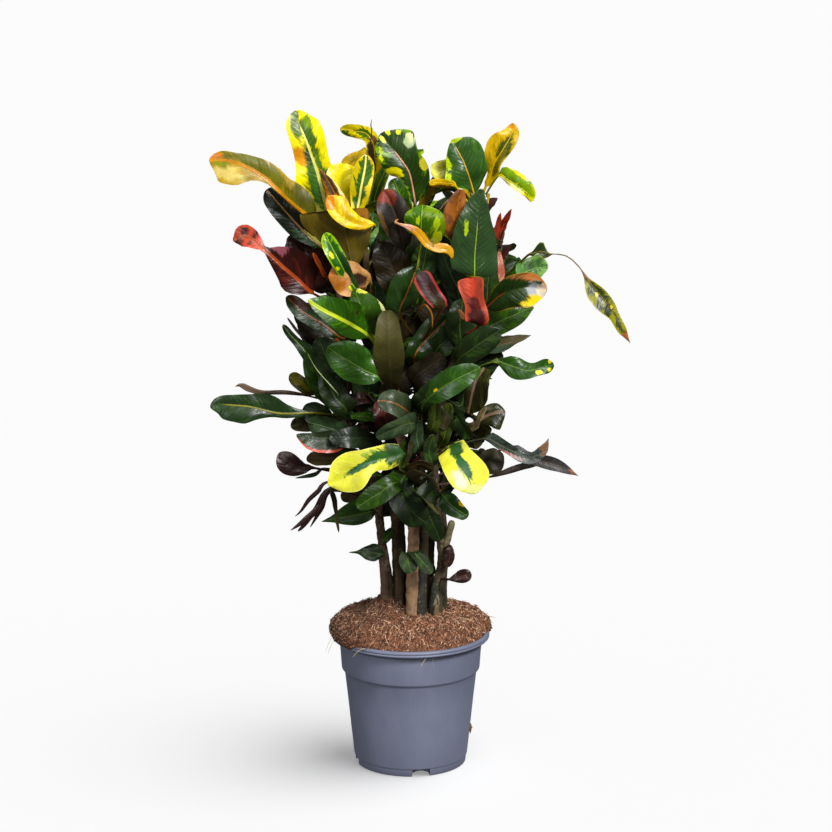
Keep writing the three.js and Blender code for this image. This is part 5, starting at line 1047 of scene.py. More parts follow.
# What a leaf looks like: blade, blotches, rib and margin colours, then how much is blotched, whether the
# blotches keep to the margin (over 0) or the rib, and to the tip or the base, and how strongly the veins
# show. `rim` says how far in the coloured margin reaches, and `rib` is the rib's half width in millimetres.
looks = {
    "sunny": paint("e8da1c 7a8a1c dedc7c f0dd60", 0.42, -0.6, -0.25, 0.2, rib=2.6, ribTip=1.0, soft=0.1),
    "goldOlive": paint("b8921f 6e6c1e cc8a34 bf9a20", 0.5, -0.3, -0.2, 0.15, rib=2.6, ribTip=1.8, soft=0.14),
    "night": paint("131d12 22301a d49c60 1c2616", 0.3, 0, 0, 0.12, rib=1.9),
    "coralHead": paint("331310 5a241c b85a3c 7c2c22", 0.35, 0.0, 0.0, 0.1, rib=2.6, ribTip=2.4, soft=0.08),
    "oliveBack": paint("2b280f 3a3614 4a451c 332f12", 0.4, 0.2, 0, 0.08, gloss=0.5, under=0.06),
    "goldPlain": paint("dcb11a f0d94c e8bc34 e8c838", 0.45, 0, 0.3, 0.2),
    "halfGreen": paint("dcc524 33581c e0d878 e8c030", 0.52, -1.0, 0.0, 0.2, rib=2.2, ribTip=1.2),
    "lemon": paint("e2d220 eee070 ecd84a f2e888", 0.4, 0.3, 0, 0.12, rim=0.1),
    "lemonSpot": paint("ead426 4a6a20 e8c850 f2e480", 0.36, 0, 0.3, 0.2, rim=0.15),
    "rust": paint("74401c a8621f b86c30 8a5020", 0.5, 0, 0.3, 0.3, rim=0.1, gloss=0.45),
    "limeEdge": paint("2a4c1c 93b02c 9ab83c a8c434", 0.34, 0.7, 0.2, 0.25, rim=0.16),
    "crimson": paint("5a2220 a04236 b85440 944034", 0.55, 0.2, 0.3, 0.3, rim=0.2),
    "dark": paint("1b2a10 2b4216 4a5f26 20320f", 0.4, 0, 0, 0.14, gloss=0.4),
    "mid": paint("2e4a17 41661e 6f8f34 34551a", 0.42, 0, 0, 0.18),
    "tan": paint("c08850 d8a878 c08850 d8a070", 0.5, 0.2, 0.3, 0.08, gloss=0.5, soft=0.14),
    "spotted": paint("243e12 6f9020 e0a488 8aa82c", 0.3, 0.5, 0.15, 0.14, rib=1.5),
    "maroon": paint("28120f 3e1a15 5a2620 46201a", 0.42, 0, 0.3, 0.14, rim=0.06, soft=0.1),
    "limeSpot": paint("3a6614 7c9c24 b8c840 7ea02c", 0.4, 0.3, 0.3, 0.2),
    "strip": paint("c88450 dca02c c8983c dca850", 0.5, 0, 1.4, 0.2, rim=0.1),
    "bronze": paint("23281a 3a3a1e 5a5430 2c2c1c", 0.4, 0, 0, 0.2),
    "pale": paint("466a3a 688a4c 86a65c 5a7a44", 0.45, 0.2, 0, 0.3),
    "cream": paint("e6da86 f3edc0 e8d890 f0e8b0", 0.5, 0, 0, 0.2, rim=0.1),
    "limeRibbed": paint("2a4a1c 3a5c22 d6a64c 9ab838", 0.35, 0.3, 0.1, 0.14, rim=(0.1, 0.03), rib=1.2),
    "gold": paint("d9b01e 8a7a20 dcb43c d8a828", 0.36, -0.2, 0.2, 0.15, soft=0.1),
    "oliveRust": paint("423a15 8a5a1e a8662c 6a4a1c", 0.42, 0.4, -0.2, 0.4, rim=0.1, gloss=0.45),
    "glossDark": paint("2b4024 35502a 90a848 2a3e22", 0.35, 0, 0, 0.16, gloss=0.22),
    "pink": paint("cf7562 e09c86 d88068 d88a74", 0.5, 0, 0, 0.2),
    "thread": paint("343f18 99982a 7a6a34 b8a834", 0.36, 0.5, 0.5, 0.3, rim=0.12),
    "curledTip": paint("253e16 35501e c45c34 d8a050", 0.4, 0, 0, 0.12, rim=0.08, rib=1.2, soft=0.12),
    "maroonRed": paint("2a120e 40181a 4a1c16 a84440", 0.3, 0.4, 0, 0.1, rim=0.3, rib=1.2),
    "coralDark": paint("9c4638 7e3028 3c1412 b8543f", 0.46, -0.4, 0, 0.1, rim=0.2, rib=1.2, soft=0.1,
        gloss=0.5),
    "orangeRib": paint("223a16 2e4c1c a8683a 2a4a20", 0.4, 0, 0, 0.1, rib=1.4, ribTip=0.9),
    "redRib": paint("1e2414 2c2416 98482e 3c2018", 0.45, 0.3, 0, 0.1, rim=0.08, rib=1.7, ribTip=1.2,
        soft=0.1),
    "limeRib": paint("2a5114 3d6c1a d2e04e 305616", 0.38, 0, 0, 0.12, rib=1.3, ribTip=2.6),
    "bigGreen": paint("38601f 467430 88a350 3c6422", 0.4, 0, 0, 0.26, gloss=0.26),
    "paleRib": paint("22371c 2f4824 93a06c 263c1e", 0.38, 0, 0, 0.2, rib=1.4),
    "yellowRib": paint("1f3318 2b4220 928a38 2c4a1e", 0.36, 0, 0, 0.1, rib=1.3, ribTip=0.8, gloss=0.3),
    "purpleGrey": paint("3b3937 4a4644 6e5648 4a403c", 0.45, 0, 0, 0.3, rim=0.05, gloss=0.45),
    "tipSpots": paint("2c5018 3f6824 6c8c38 34602a", 0.4, 0, 0, 0.14),
    "slate": paint("26341f 33452a 546844 2a3a24", 0.4, 0, 0, 0.2),
    "dried": paint("33261f 4a382c 54402f 44342a", 0.5, 0, 0, 0.2, gloss=0.6),
    "oliveYellow": paint("3a3a16 625c1e 6c6428 4a481a", 0.45, -0.5, 0.4, 0.2),
    "plum": paint("2a1a17 3a2622 4a302a 34201c", 0.42, 0, 0, 0.1),
    "greyRib": paint("36422c 44503a a86c48 3a4430", 0.42, 0, 0, 0.25, rib=1.8),
    "greyGreen": paint("2f3f28 3e5034 667848 34442c", 0.42, 0, 0, 0.25),
    "heart": paint("e0dc58 d4d64a a8bc44 ece88c", 0.45, -0.4, 0.0, 0.03, rim=0.06, rib=0.6, soft=0.08,
        gloss=0.45),
    "rustEdge": paint("28362a 38423a 5c5844 4c4638", 0.45, 0.2, 0.2, 0.1, rim=0.05),
    "lemonGreen": paint("d8cf22 3f6a1c d8cc40 eae04c", 0.46, -0.5, -0.3, 0.2),
    "bronzeRib": paint("24250f 3a3c18 7c6450 2c2c14", 0.45, 0.2, 0, 0.2, rib=2.4, ribTip=2.0),
    "amber": paint("b87830 8a4e20 9a6428 c88a40", 0.45, 0, 0, 0.1, gloss=0.5, soft=0.14),
    "umber": paint("20190c 2e2412 3c2e14 2a2010", 0.45, 0, 0, 0.08, gloss=0.5),
    "khaki": paint("85764e 9c8c62 8c7c54 6e6042", 0.45, 0, 0, 0.1, gloss=0.6),
    "olive": paint("333f14 455420 5c6a28 38441a", 0.45, 0, 0, 0.1),
    "hood": paint("524400 685600 7a6404 584800", 0.5, 0, 0, 0.04, gloss=0.55, soft=0.16, under=0.0),
    "duskRed": paint("1c140b 2a1c12 4a2a1c 3a1c14", 0.42, 0, 0.3, 0.1, rim=0.03, gloss=0.5, soft=0.1),
    "ember": paint("b8502c c8663c 4a1c12 a04028", 0.45, 0, 0, 0.1, rib=1.0),
    "leftLime": paint("2c5a1c 88b02c 9ab83c a8c434", 0.36, 0.5, 0.2, 0.1, rim=(0.2, 0.0)),
    "creamGreen": paint("e2d65c a9b65c d8cc78 efe8b0", 0.42, 0, 0, 0.1, rim=0.05, soft=0.1),
    "limeStalk": paint("94a638 a8b848 a0b040 94a638", 0.5, 0, 0, 0.0, rib=0.4),
    "coralEdge": paint("26301c 34382a 4a5238 cc5a48", 0.34, 0.6, 0, 0.14, rim=(0.24, 0.0)),
}

# The looks of the leaves set by rule, and how often each comes, for the upper, middle and lower crown
usualLooks = [
    (690, dict(sunny=3, goldOlive=2, halfGreen=3, spotted=3, limeSpot=3, gold=2, limeEdge=2, dark=2,
               maroon=1)),
    (560, dict(dark=5, mid=3, spotted=2, maroon=3, bronze=2, limeRib=2, limeEdge=1, umber=1, orangeRib=1,
               oliveBack=2)),
    (0, dict(dark=6, slate=3, mid=3, plum=2, bronze=2, oliveBack=1, orangeRib=2, maroon=1, paleRib=2)),
]

# Leaves
foliage = {
    "stations": 32, "bunching": 1.6, "tipGap": 0.0003,    # crosswise rows, closer together towards the tip
    "outerColumns": 5, "thickness": 0.75, "edgeThickness": 0.34,
    "ribRise": 0.45, "channel": 0.5, "keel": 1.1,    # rib above and below the blade, and the hollow along it
    "lobes": ((1.2, 2.6, 0.02, 0.08), (3, 6, 0.01, 0.045)),    # the outline's waves: how many and how deep
    "ripples": ((1.8, 3.6, 0.8, 2.6), (5, 9, 0.2, 0.9)),    # the margin's rise and fall, in millimetres
    "givenLobes": 0.35, "roundFrom": 0.88,    # of given outlines: how wavy, and the round tip
    "bulge": (0.0, 0.09), "curl": (-34, 30), "curlStart": 0.35,    # each half's arch and bent margin
    "underTint": "5b5026", "underShare": 0.5, "rough": 0.33, "underRough": 0.55,
    "veinSpacing": 6.4, "veinSlope": 0.62, "veinBend": 0.014, "soft": 0.05,
}


def lookOf(leaf, draw):
    if "look" in leaf:
        return looks[leaf["look"]]
    height = leaf["midrib"][0][layout["steps"] // 2][2]
    chances = next(chances for low, chances in usualLooks if height > low)
    place = draw(0, sum(chances.values()))
    for name, chance in chances.items():
        place -= chance
        if place <= 0:
            return looks[name]
    return looks["dark"]


def ribHalf(leaf, look, s):
    width = mix(look.get("rib", 1.15), look.get("ribTip", 0.28 * look.get("rib", 1.15)), s)
    return width * np.clip((leaf.get("ribLast", 2) - s) / 0.05, 0.02, 1)


def through(values, share):    # a smooth line through evenly spaced values
    values = np.array(values, float)[:, None]
    return curveAt(np.concatenate((values[:1], values, values[-1:])), np.clip(share, 0, 1))[:, 0]


# One half of every crosswise section: how far out and how high it runs, and how steep it is, at the shares u
def halfSection(reach, cup, curl, bulge, u):
    fine = np.linspace(0, 1, 25)
    beyond = np.clip((fine - foliage["curlStart"]) / (1 - foliage["curlStart"]), 0, 1)
    steep = cup[:, None] + curl[:, None] * beyond ** 1.3 + bulge * np.pi * np.cos(np.pi * fine)
    step = fine[1]

    def sumUp(parts):
        inner = np.cumsum((parts[:, 1:] + parts[:, :-1]) / 2, 1) * step
        return np.hstack((np.zeros((len(parts), 1)), inner)) * reach[:, None]

    curves = sumUp(np.cos(steep)), sumUp(np.sin(steep)), steep
    return [np.stack([np.interp(row, fine, line) for row, line in zip(u, curve)]) for curve in curves]


# One blade: a grid of points for the top and one for the underside, closed along the margin and at both ends
def bladeArrays(leaf, look, draw):
    f = foliage
    s = 1 - (1 - np.linspace(0, 1, leaf.get("stations", f["stations"]) + 1)) ** f["bunching"]
    if leaf.get("neck"):
        near, far = leaf["neck"]
        before, beyond = near - 0.08 * np.linspace(0, 1, 6) ** 2, far + 0.05 * np.linspace(0, 1, 5)
        s = np.unique(np.concatenate((s, before, beyond)))
    s[-1] = 1 - f["tipGap"]
    start = leaf.get("stalk", blade["stalk"])
    along = (s - start) / (1 - start)
    halves = [halfWidth(leaf, key, s, along) for key in ("left", "right")]
    middle, side, out, half, left, right, spread = sectionAt(leaf, s, halves[0] + halves[1])
    length = np.linalg.norm(np.diff(leaf["midrib"][0], axis=0), axis=1).sum()
    cup = math.radians(leaf.get("cup", blade["cup"])) * spread
    bulge = leaf.get("bulge", draw(*f["bulge"]))
    parts = []
    for key, rise, fullHalf in (("left", left, halves[0]), ("right", right, halves[1])):
        near = np.clip(1.3 / fullHalf, 0.03, 0.3)
        second = np.clip(3.2 / fullHalf, 0.08, 0.55)
        outer = [mix(second, 1, k / f["outerColumns"]) for k in range(1, f["outerColumns"] + 1)]
        positive = np.stack([near, second] + outer, 1)
        margin = np.ones(len(s))
        for low, high, least, most in f["lobes"]:
            lobe = draw(least, most) * spread * np.sin(2 * np.pi * (draw(low, high) * s + draw(0, 1)))
            margin += lobe * (f["givenLobes"] if key in leaf else 1)
        wave = rise - half * np.tan(cup)
        for low, high, least, most in f["ripples"]:
            wave = wave + draw(least, most) * spread * np.sin(2 * np.pi * (draw(low, high) * s + draw(0, 1)))
        curl = np.radians(draw(*f["curl"])) * spread * np.sin(np.pi * np.clip(along, 0, 1))
        if key + "Curl" in leaf:
            curl = np.radians(through(leaf[key + "Curl"], along))
        reach = fullHalf * margin
        x, y, steep = halfSection(reach, cup, curl * spread, bulge * spread[:, None], positive)
        parts.append((x, y + wave[:, None] * positive ** 1.6, steep, reach[:, None] * positive, positive))
    zero = np.zeros((len(s), 1))

    def both(k, sign):
        return np.hstack((parts[0][k][:, ::-1] * sign, zero, parts[1][k]))

    reach, rise, steep, x, u = both(0, -1), both(1, 1), both(2, -1), both(3, -1), both(4, -1)
    rib = ribHalf(leaf, look, s)[:, None]
    flat = mix(f["edgeThickness"], f["thickness"], 1 - np.abs(u) ** 3) / 2
    thin = np.minimum(1, (halves[0] + halves[1]) / 3.2)[:, None]
    stalkRound = blade["stalkThickness"] / 2 * np.sqrt(np.clip(1 - u ** 2, 0.01, 1)) * thin
    k = spread[:, None]
    channel = f["channel"] * np.exp(-(x / 3.2) ** 2)
    over = mix(stalkRound, flat + f["ribRise"] * np.exp(-(x / rib) ** 2) - channel, k)
    under = mix(stalkRound, flat + f["keel"] * np.exp(-(x / rib / 1.2) ** 2) * (1 - 0.7 * s[:, None]), k)
    base = middle[:, None] + side[:, None] * reach[..., None] + out[:, None] * rise[..., None]
    normal = out[:, None] * np.cos(steep)[..., None] - side[:, None] * np.sin(steep)[..., None]
    return s, u, x, base + normal * over[..., None], base - normal * under[..., None], length


def halfWidth(leaf, key, s, along):    # of one half of the blade or of the stalk
    f = foliage
    if key in leaf:
        stalk = blade["stalkWidth"] / 2
        grown = np.clip(along / 0.06, 0, 1)
        roundFrom = leaf.get("roundFrom", f["roundFrom"])
        closing = np.sqrt(1 - np.clip((along - roundFrom) / (1 - roundFrom), 0, 1) ** 2)
        given = np.maximum(through(leaf[key], along), 0.5)
        return np.where(along > 0, mix(np.minimum(stalk, given), given, grown), stalk) * closing.clip(0.01)
    body = bladeWidth(leaf, s)
    stalk = min(blade["stalkWidth"], leaf["width"] * blade["leastWidth"])
    last = leaf["neck"][1] + 0.3 * (1 - leaf["neck"][1]) if leaf.get("neck") else 0.6
    width = np.where(s < last, np.maximum(body, stalk), body)
    if leaf.get("neck"):
        bare = (s > leaf["neck"][0]) & (s < leaf["neck"][1])
        width = np.where(bare, np.minimum(width, 2.0), width)
    return width / 2


# The colours and numbers that the leaf material reads at every point
def leafTraits(leaf, look, s, u, x, length, seed, draw):
    # A leaf's tone scales its colours: the tones below 1 on the leaves low in the crown and inside it are
    # painted shade.
    colors = [np.array(srgb(code)) * draw(0.88, 1.12) * leaf.get("tone", 1) for code in look["colors"]]
    below = np.array(srgb(foliage["underTint"]))
    along = s[:, None]
    start = leaf.get("stalk", blade["stalk"])
    depth = np.full(u.shape, -1.0)    # how far inside a spot, in shares of its size
    spotTint = np.zeros((*u.shape, 3))
    for place, across, halfLength, halfAcross, code in leaf.get("spots", look.get("spots", ())):
        away = (along - start - place * (1 - start)) * length / halfLength
        inside = 1 - np.hypot(away, (x - across) / halfAcross)
        spotTint[inside > np.where(depth > 0, 0, depth)] = srgb(code)    # later spots lie over earlier ones
        depth = np.maximum(depth, inside)
    rim = look["rim"] if isinstance(look["rim"], tuple) else (look["rim"], look["rim"])    # of each half
    soft = look.get("soft", foliage["soft"])
    gloss = leaf.get("gloss", look.get("gloss", foliage["rough"]))

    def columns(*values):
        return np.stack([np.broadcast_to(part, u.shape).ravel() for part in values], 1)

    def oneSide(upper, rough, tints):
        return {
            "place": columns(x, along * length, seed), "share": columns(np.abs(u), along, upper),
            "numbers": columns(*look["blotch"]), "veins": columns(look["veins"], depth, soft),
            "more": columns(np.where(u < 0, *rim), rough, ribHalf(leaf, look, s)[:, None]),
            "spot": columns(*np.moveaxis(spotTint, 2, 0), 1),
            "tint": columns(*tints[0], 1), "blotch": columns(*tints[1], 1),
            "ribTint": columns(*tints[2], 1), "rimTint": columns(*tints[3], 1),
        }

    shown = oneSide(1, gloss, colors)
    hidden = oneSide(0, foliage["underRough"],
                     [mix(color, below, look.get("under", foliage["underShare"])) for color in colors])
    return {key: np.vstack((shown[key], hidden[key])) for key in shown}


# Faces of one blade, with a place on the OFBake UV map for each corner inside the cell (cellX, cellY, size)
def bladeFaces(rows, columns, first, s, u, cell):
    grid = first + np.arange(rows * columns).reshape(rows, columns)
    low = grid + rows * columns
    topU = mix(0.04, 0.46, (u + 1) / 2)
    v = np.repeat(mix(0.03, 0.97, s)[:, None], columns, 1)
    faces, maps = [], []

    def addQuads(corners, turned):    # each corner as (points, across, along the cell)
        if turned:
            corners = corners[::-1]
        faces.append(np.stack([points.ravel() for points, _, _ in corners], 1))
        places = [np.stack((uu.ravel(), vv.ravel()), 1) for _, uu, vv in corners]
        maps.append(np.array(cell[:2]) + cell[2] * np.stack(places, 1))

    here, onward = slice(0, -1), slice(1, None)
    for points, shift, turned in ((grid, 0, False), (low, 0.5, True)):
        order = (here, here), (here, onward), (onward, onward), (onward, here)
        addQuads([(points[at], topU[at] + shift, v[at]) for at in order], turned)
    every = slice(None)    # the narrow strips round the blade, two along its margins and two across its ends
    for at, across, along, turned in (((every, 0), -0.02, 0, False), ((every, -1), 0.02, 0, True),
                                      (0, 0, -0.015, True), (-1, 0, 0.015, False)):
        top, under, edgeU, edgeV = grid[at], low[at], topU[at], v[at]
        corners = [(top[k], edgeU[k], edgeV[k]) for k in (here, onward)]
        corners += [(under[k], edgeU[k] + across, edgeV[k] + along) for k in (onward, here)]
        addQuads(corners, turned)
    return np.vstack(faces), np.vstack(maps)


def makeFoliage(number, leaves, material, draw):
    own = [leaf for leaf in leaves if arms[leaf["arm"]]["plant"] == number]
    cells = math.ceil(math.sqrt(len(own)))
    points, faces, maps, traits = [], [], [], {}
    first = 0
    for i, leaf in enumerate(own):
        look = lookOf(leaf, draw)
        s, u, x, top, bottom, length = bladeArrays(leaf, look, draw)
        for key, numbers in leafTraits(leaf, look, s, u, x, length, draw(0, 90), draw).items():
            traits.setdefault(key, []).append(numbers)
        cell = ((i % cells) / cells, (i // cells) / cells, 1 / cells)
        found, spots = bladeFaces(len(s), u.shape[1], first, s, u, cell)
        faces.append(found)
        maps.append(spots.reshape(-1, 2))
        points += [top.reshape(-1, 3), bottom.reshape(-1, 3)]
        first += 2 * u.size
    traits = {key: np.vstack(parts) for key, parts in traits.items()}
    makePiece(f"foliage_{number}", np.vstack(points) * mm, np.vstack(faces), material,
              [f"plant_{number}"], traits, np.vstack(maps))
    print("foliage", number, "leaves", len(own), "faces", sum(map(len, faces)))


def makeLeafMaterial():
    m = Maker("crotonLeaf")
    f = foliage
    place = m.attribute("place")
    across, along, seed = m.split(place)
    edge, share, upper = m.split(m.attribute("share"))
    amount, toMargin, toTip = m.split(m.attribute("numbers"))
    rim, rough, rib = m.split(m.attribute("more"))
    veins, inSpot, soft = m.split(m.attribute("veins"))
    away = across.math("ABSOLUTE")
    leftSide = across.math("LESS_THAN", 0.0)
    wander = m.noise(place, 0.05, 1.0) - 0.5
    lift = along - away * f["veinSlope"] - away * away * f["veinBend"] + wander * 6
    count = lift / f["veinSpacing"] + leftSide * 0.5
    saw = (count.math("FRACT") - 0.5).math("ABSOLUTE") * 2
    vein = 1 - m.smooth(saw, 0.02, 0.16)
    fade = 1 - edge ** 2.5
    # Blotches run along the veins, in patches and in small spots between them
    patches = m.noise(m.join(lift * 0.07, away * 0.055 + leftSide * 7, seed), 1.0, 3.0, 0.55)
    spots = m.noise(m.join(lift * 0.27, away * 0.17 + leftSide * 5, seed + 31), 1.0, 2.0, 0.55)
    ground = patches * 0.72 + spots * 0.28 + (edge - 0.5) * toMargin * 0.4 + (share - 0.55) * toTip * 0.4
    level = 0.78 - amount * 0.56
    blotch = m.smooth(ground - level, soft * -1, soft)
    color = m.mixColor(blotch, m.attribute("tint", 0), m.attribute("blotch", 0))
    ragged = (patches - 0.5) * 1.1 + (spots - 0.5) * 0.9
    color = m.mixColor(m.smooth(inSpot + ragged, soft * -2, soft * 3), color, m.attribute("spot", 0))
    color = m.mixColor(vein * fade * veins * 0.55, color, m.attribute("ribTint", 0))
    rimStart = 1 - rim
    margin = m.smooth(edge + wander * 0.12, rimStart, rimStart + 0.1) * rim.math("GREATER_THAN", 0.01)
    color = m.mixColor(margin * 0.85, color, m.attribute("rimTint", 0))
    onRib = 1 - m.smooth(away, rib * 0.7, rib * 1.25)
    color = m.mixColor(onRib * 0.95, color, m.attribute("ribTint", 0))
    tone = m.noise(place, 0.035, 3.0, 0.6)
    grain = m.noise(place, 0.9, 2.0)
    color = m.shade(color, 0.44 + tone * 1.06 + (grain - 0.5) * 0.2 + (patches - 0.5) * 0.22, 1.08)
    quilt = m.noise(m.join(lift * 0.16, away * 0.09 + leftSide * 3, seed + 11), 1.0, 2.0, 0.5)
    dents = m.noise(m.join(lift * 0.05, away * 0.035 + leftSide * 3, seed + 19), 1.0, 1.0, 0.4)
    height = saw * 0.07 * upper - vein * 0.08 * upper + (1 - upper) * vein * 0.3
    height = height + quilt * 0.9 + dents * 3 + onRib * 0.3
    gloss = rough + (tone - 0.5) * 0.16 + (grain - 0.5) * 0.06
    return m.finish(color, gloss, height, 0.0012, 0.6, **{"Specular IOR Level": 0.35})


# Stems
trunks = {
    "sides": 18, "rowStep": 2.8, "foot": 150, "free": 246, "dome": ((0.4, 0.75, 0.9), (0.85, 0.55, 0.08)),
    "scarStep": (9, 27), "scarTurn": 137.5, "scarRise": 0.55, "scarDip": 0.2, "scarHeight": 1.3,
    "bulge": ((2, 23, 0.035), (3, 13, 0.03), (5, 8, 0.022), (7, 4.3, 0.016)),    # turns, wavelength, share
    "tints": dict(a1="6c5240", a1b="544236", a2="6c5636", a3="a6805f", a4="463a24", a5="4c3e28",
                  stub="7c7450", a6="3c3020", a7="40341f", b1="3a2e1c", b2="3c2f1c", b3="4a3828",
                  b4="3a301e", b5="211d12", b6="221d12", b7="75603f", b8="4a3826"),
    "fuller": {"a3": 1.28, "a2": 1.12},    # grown thicker than modelled
    "algae": "38401f", "lichen": "a09078", "dark": "2a211a", "algaeHeight": 0.31,
}


def makeStems(number, material, draw):
    points, faces, tints = [], [], []
    for name, arm in (arms | shoots).items():
        if arm["plant"] != number:
            continue
        line = evenLine(arm["path"], int(lengthOf(arm["line"]) / trunks["rowStep"]))
        radius = mix(*arm["radii"], np.linspace(0, 1, len(line))) * trunks["fuller"].get(name, 1)
        ahead = courseOf(line)
        if line[0][2] == trunks["free"]:
            ahead[0] = (0, 0, 1)
            heights = np.arange(trunks["foot"], trunks["free"], trunks["rowStep"])
            foot = heights[:, None] * (0, 0, 1) + (*line[0][:2], 0)
            line, radius = np.vstack((foot, line)), np.append(heights * 0 + radius[0], radius)
            ahead = np.vstack((foot * 0 + (0, 0, 1), ahead))
        domeRise, domeWidth = (np.array(part) * radius[-1] for part in trunks["dome"])    # at the top
        line = np.vstack((line, line[-1] + ahead[-1] * domeRise[:, None]))
        radius = np.append(radius, domeWidth)
        ahead = np.vstack((ahead, np.tile(ahead[-1], (3, 1))))
        across = unit(np.cross(ahead, (0, 1, 0)))
        inward = np.cross(ahead, across)
        turn = turnsOf(trunks["sides"])
        along = np.append(0, np.cumsum(np.linalg.norm(np.diff(line, axis=0), axis=1)))[:, None]
        relief = np.ones((len(line), trunks["sides"]))
        for turns, length, share in trunks["bulge"]:
            phase = turns * turn + draw(0, 6.3)
            relief += share * np.sin(phase + along * 2 * np.pi / length / draw(0.8, 1.3))
        lift = 0 * relief
        place, scarTurn = draw(2, 8), draw(0, 6.3)
        while place < along[-1, 0]:
            gap = np.abs((turn - scarTurn + np.pi) % (2 * np.pi) - np.pi)
            near = np.exp(-((along - place) / trunks["scarHeight"]) ** 2)
            lift += near * (trunks["scarRise"] * np.exp(-(gap / 0.9) ** 2) - trunks["scarDip"])
            place += draw(*trunks["scarStep"])
            scarTurn = (scarTurn + math.radians(trunks["scarTurn"])) % (2 * np.pi)
        reach = radius[:, None] * relief + lift * np.minimum(1, radius / 3)[:, None]
        faces += ringFaces(len(line), trunks["sides"], sum(len(part) for part in points))
        points.append(ringPoints(line, across, inward, turn, reach))
        tints.append(np.tile((*srgb(trunks["tints"][name]), 1), (len(points[-1]), 1)))
    plant = f"plant_{number}"
    makePiece(f"stems_{number}", np.vstack(points) * mm, faces, material, [plant],
              {"tint": np.vstack(tints)}, sharp=50)


def makeBarkMaterial():
    m = Maker("crotonBark")
    place = m.place()
    height = m.split(place)[2]
    rings = m.noise(m.stretch(place, (75, 75, 230)), 1.0, 4.0, 0.65)
    patches = m.noise(m.stretch(place, (1, 1, 0.5)), 110.0, 3.0, 0.6)
    cracks = m.noise(m.stretch(place, (260, 260, 60)), 1.0, 3.0, 0.6)
    tint = m.attribute("tint", 0)
    color = m.mixColor(m.smooth(rings, 0.34, 0.6), m.shade(tint, 0.55), tint)
    color = m.mixColor(m.smooth(patches, 0.58, 0.68) * 0.55, color, srgb(trunks["lichen"]))
    low = m.smooth(trunks["algaeHeight"] - height + (patches - 0.5) * 0.25, 0.0, 0.1)
    color = m.mixColor(low * m.smooth(rings, 0.42, 0.66) * 0.5, color, srgb(trunks["algae"]))
    color = m.mixColor(m.smooth(cracks, 0.6, 0.72) * 0.6, color, srgb(trunks["dark"]))
    relief = rings * 0.6 + cracks * 0.5 + patches * 0.4
    return m.finish(color, 0.78 + rings * 0.12, relief, 0.0012, 0.8)


# Pot
pot = {
    "height": 180, "lip": 105, "bandTop": 94.7, "bandFoot": 92.2, "bandHeight": 130, "bodyTop": 88.2,
    "bodyFoot": 75.9, "foot": 73.8, "footHeight": 10, "wall": 1.6, "sides": 144, "floor": 10.2,
    "pad": 24, "padRise": 8.4, "lipDrop": 5,
    "notches": 4, "notchTurn": -79, "notchWidth": 24, "notchHeight": 9.8, "notchDepth": 16,
    "color": "696e82", "edgeColor": "7d8298", "dustColor": "8c8e98", "rough": 0.42, "sheen": 0.35,
}
potInside = [(pot[name] - pot["wall"], height) for name, height in (    # from the floor up
    ("foot", pot["floor"]), ("bodyFoot", pot["footHeight"] + 4), ("bodyTop", pot["bandHeight"] - 0.6),
    ("bandFoot", pot["bandHeight"] + 2.4), ("bandTop", pot["height"] - 13))]


# (radius, height) from the underside's middle, up the outside, over the lip and down inside
def potProfile():
    p = pot
    footTop, band, top, rise = p["footHeight"], p["bandHeight"], p["height"], p["padRise"]
    steps = [    # a radius, a height and what is added to both, in turn
        (p["pad"], 0, ((-2, 0), (-1.6, 0.2), (0, rise))),
        (p["foot"], 0, ((-9, rise), (-6.4, 0), (-0.5, 0), (0, 0.5))),
        (p["foot"], footTop, ((0.7, -2.2), (0.9, -1.5))),
        (p["bodyFoot"], footTop, ((-0.9, -0.1), (-0.3, 0.5), (0, 1.6))),
        (mix(p["bodyFoot"], p["bodyTop"], 0.33), mix(footTop, band, 0.33), ((0, 0),)),
        (mix(p["bodyFoot"], p["bodyTop"], 0.66), mix(footTop, band, 0.66), ((0, 0),)),
        (p["bodyTop"], band, ((-0.1, -4.4), (0.4, -3.2))),
        (p["bandFoot"], band, ((-1.1, -0.9), (-0.3, 0.1), (0, 1.4))),
        (mix(p["bandFoot"], p["bandTop"], 0.5), mix(band, top, 0.4), ((0, 0),)),
        (p["bandTop"], top, ((0, -14.5), (-0.3, -13), (-0.6, -12.4), (0.4, -11.4), (3, -10.4))),
        (p["lip"], top, ((-2.6, -8.9), (-1, -8), (-0.2, -7.1), (0, -6.4), (-0.2, -5.6), (-0.9, -5))),
        (p["lip"], top, ((-0.9, -4.6), (-0.2, -4), (0, -3.2), (-0.1, -2), (-0.7, -0.9), (-1.8, -0.2))),
        (p["lip"], top, ((-3.4, 0), (-4.6, -0.3), (-5.6, -1.2), (-7.6, -p["lipDrop"]))),
        (p["bandTop"] - p["wall"], top, ((1.4, -9),)),
    ]
    outside = [(radius + r, height + z) for radius, height, more in steps for r, z in more]
    return outside + potInside[::-1]


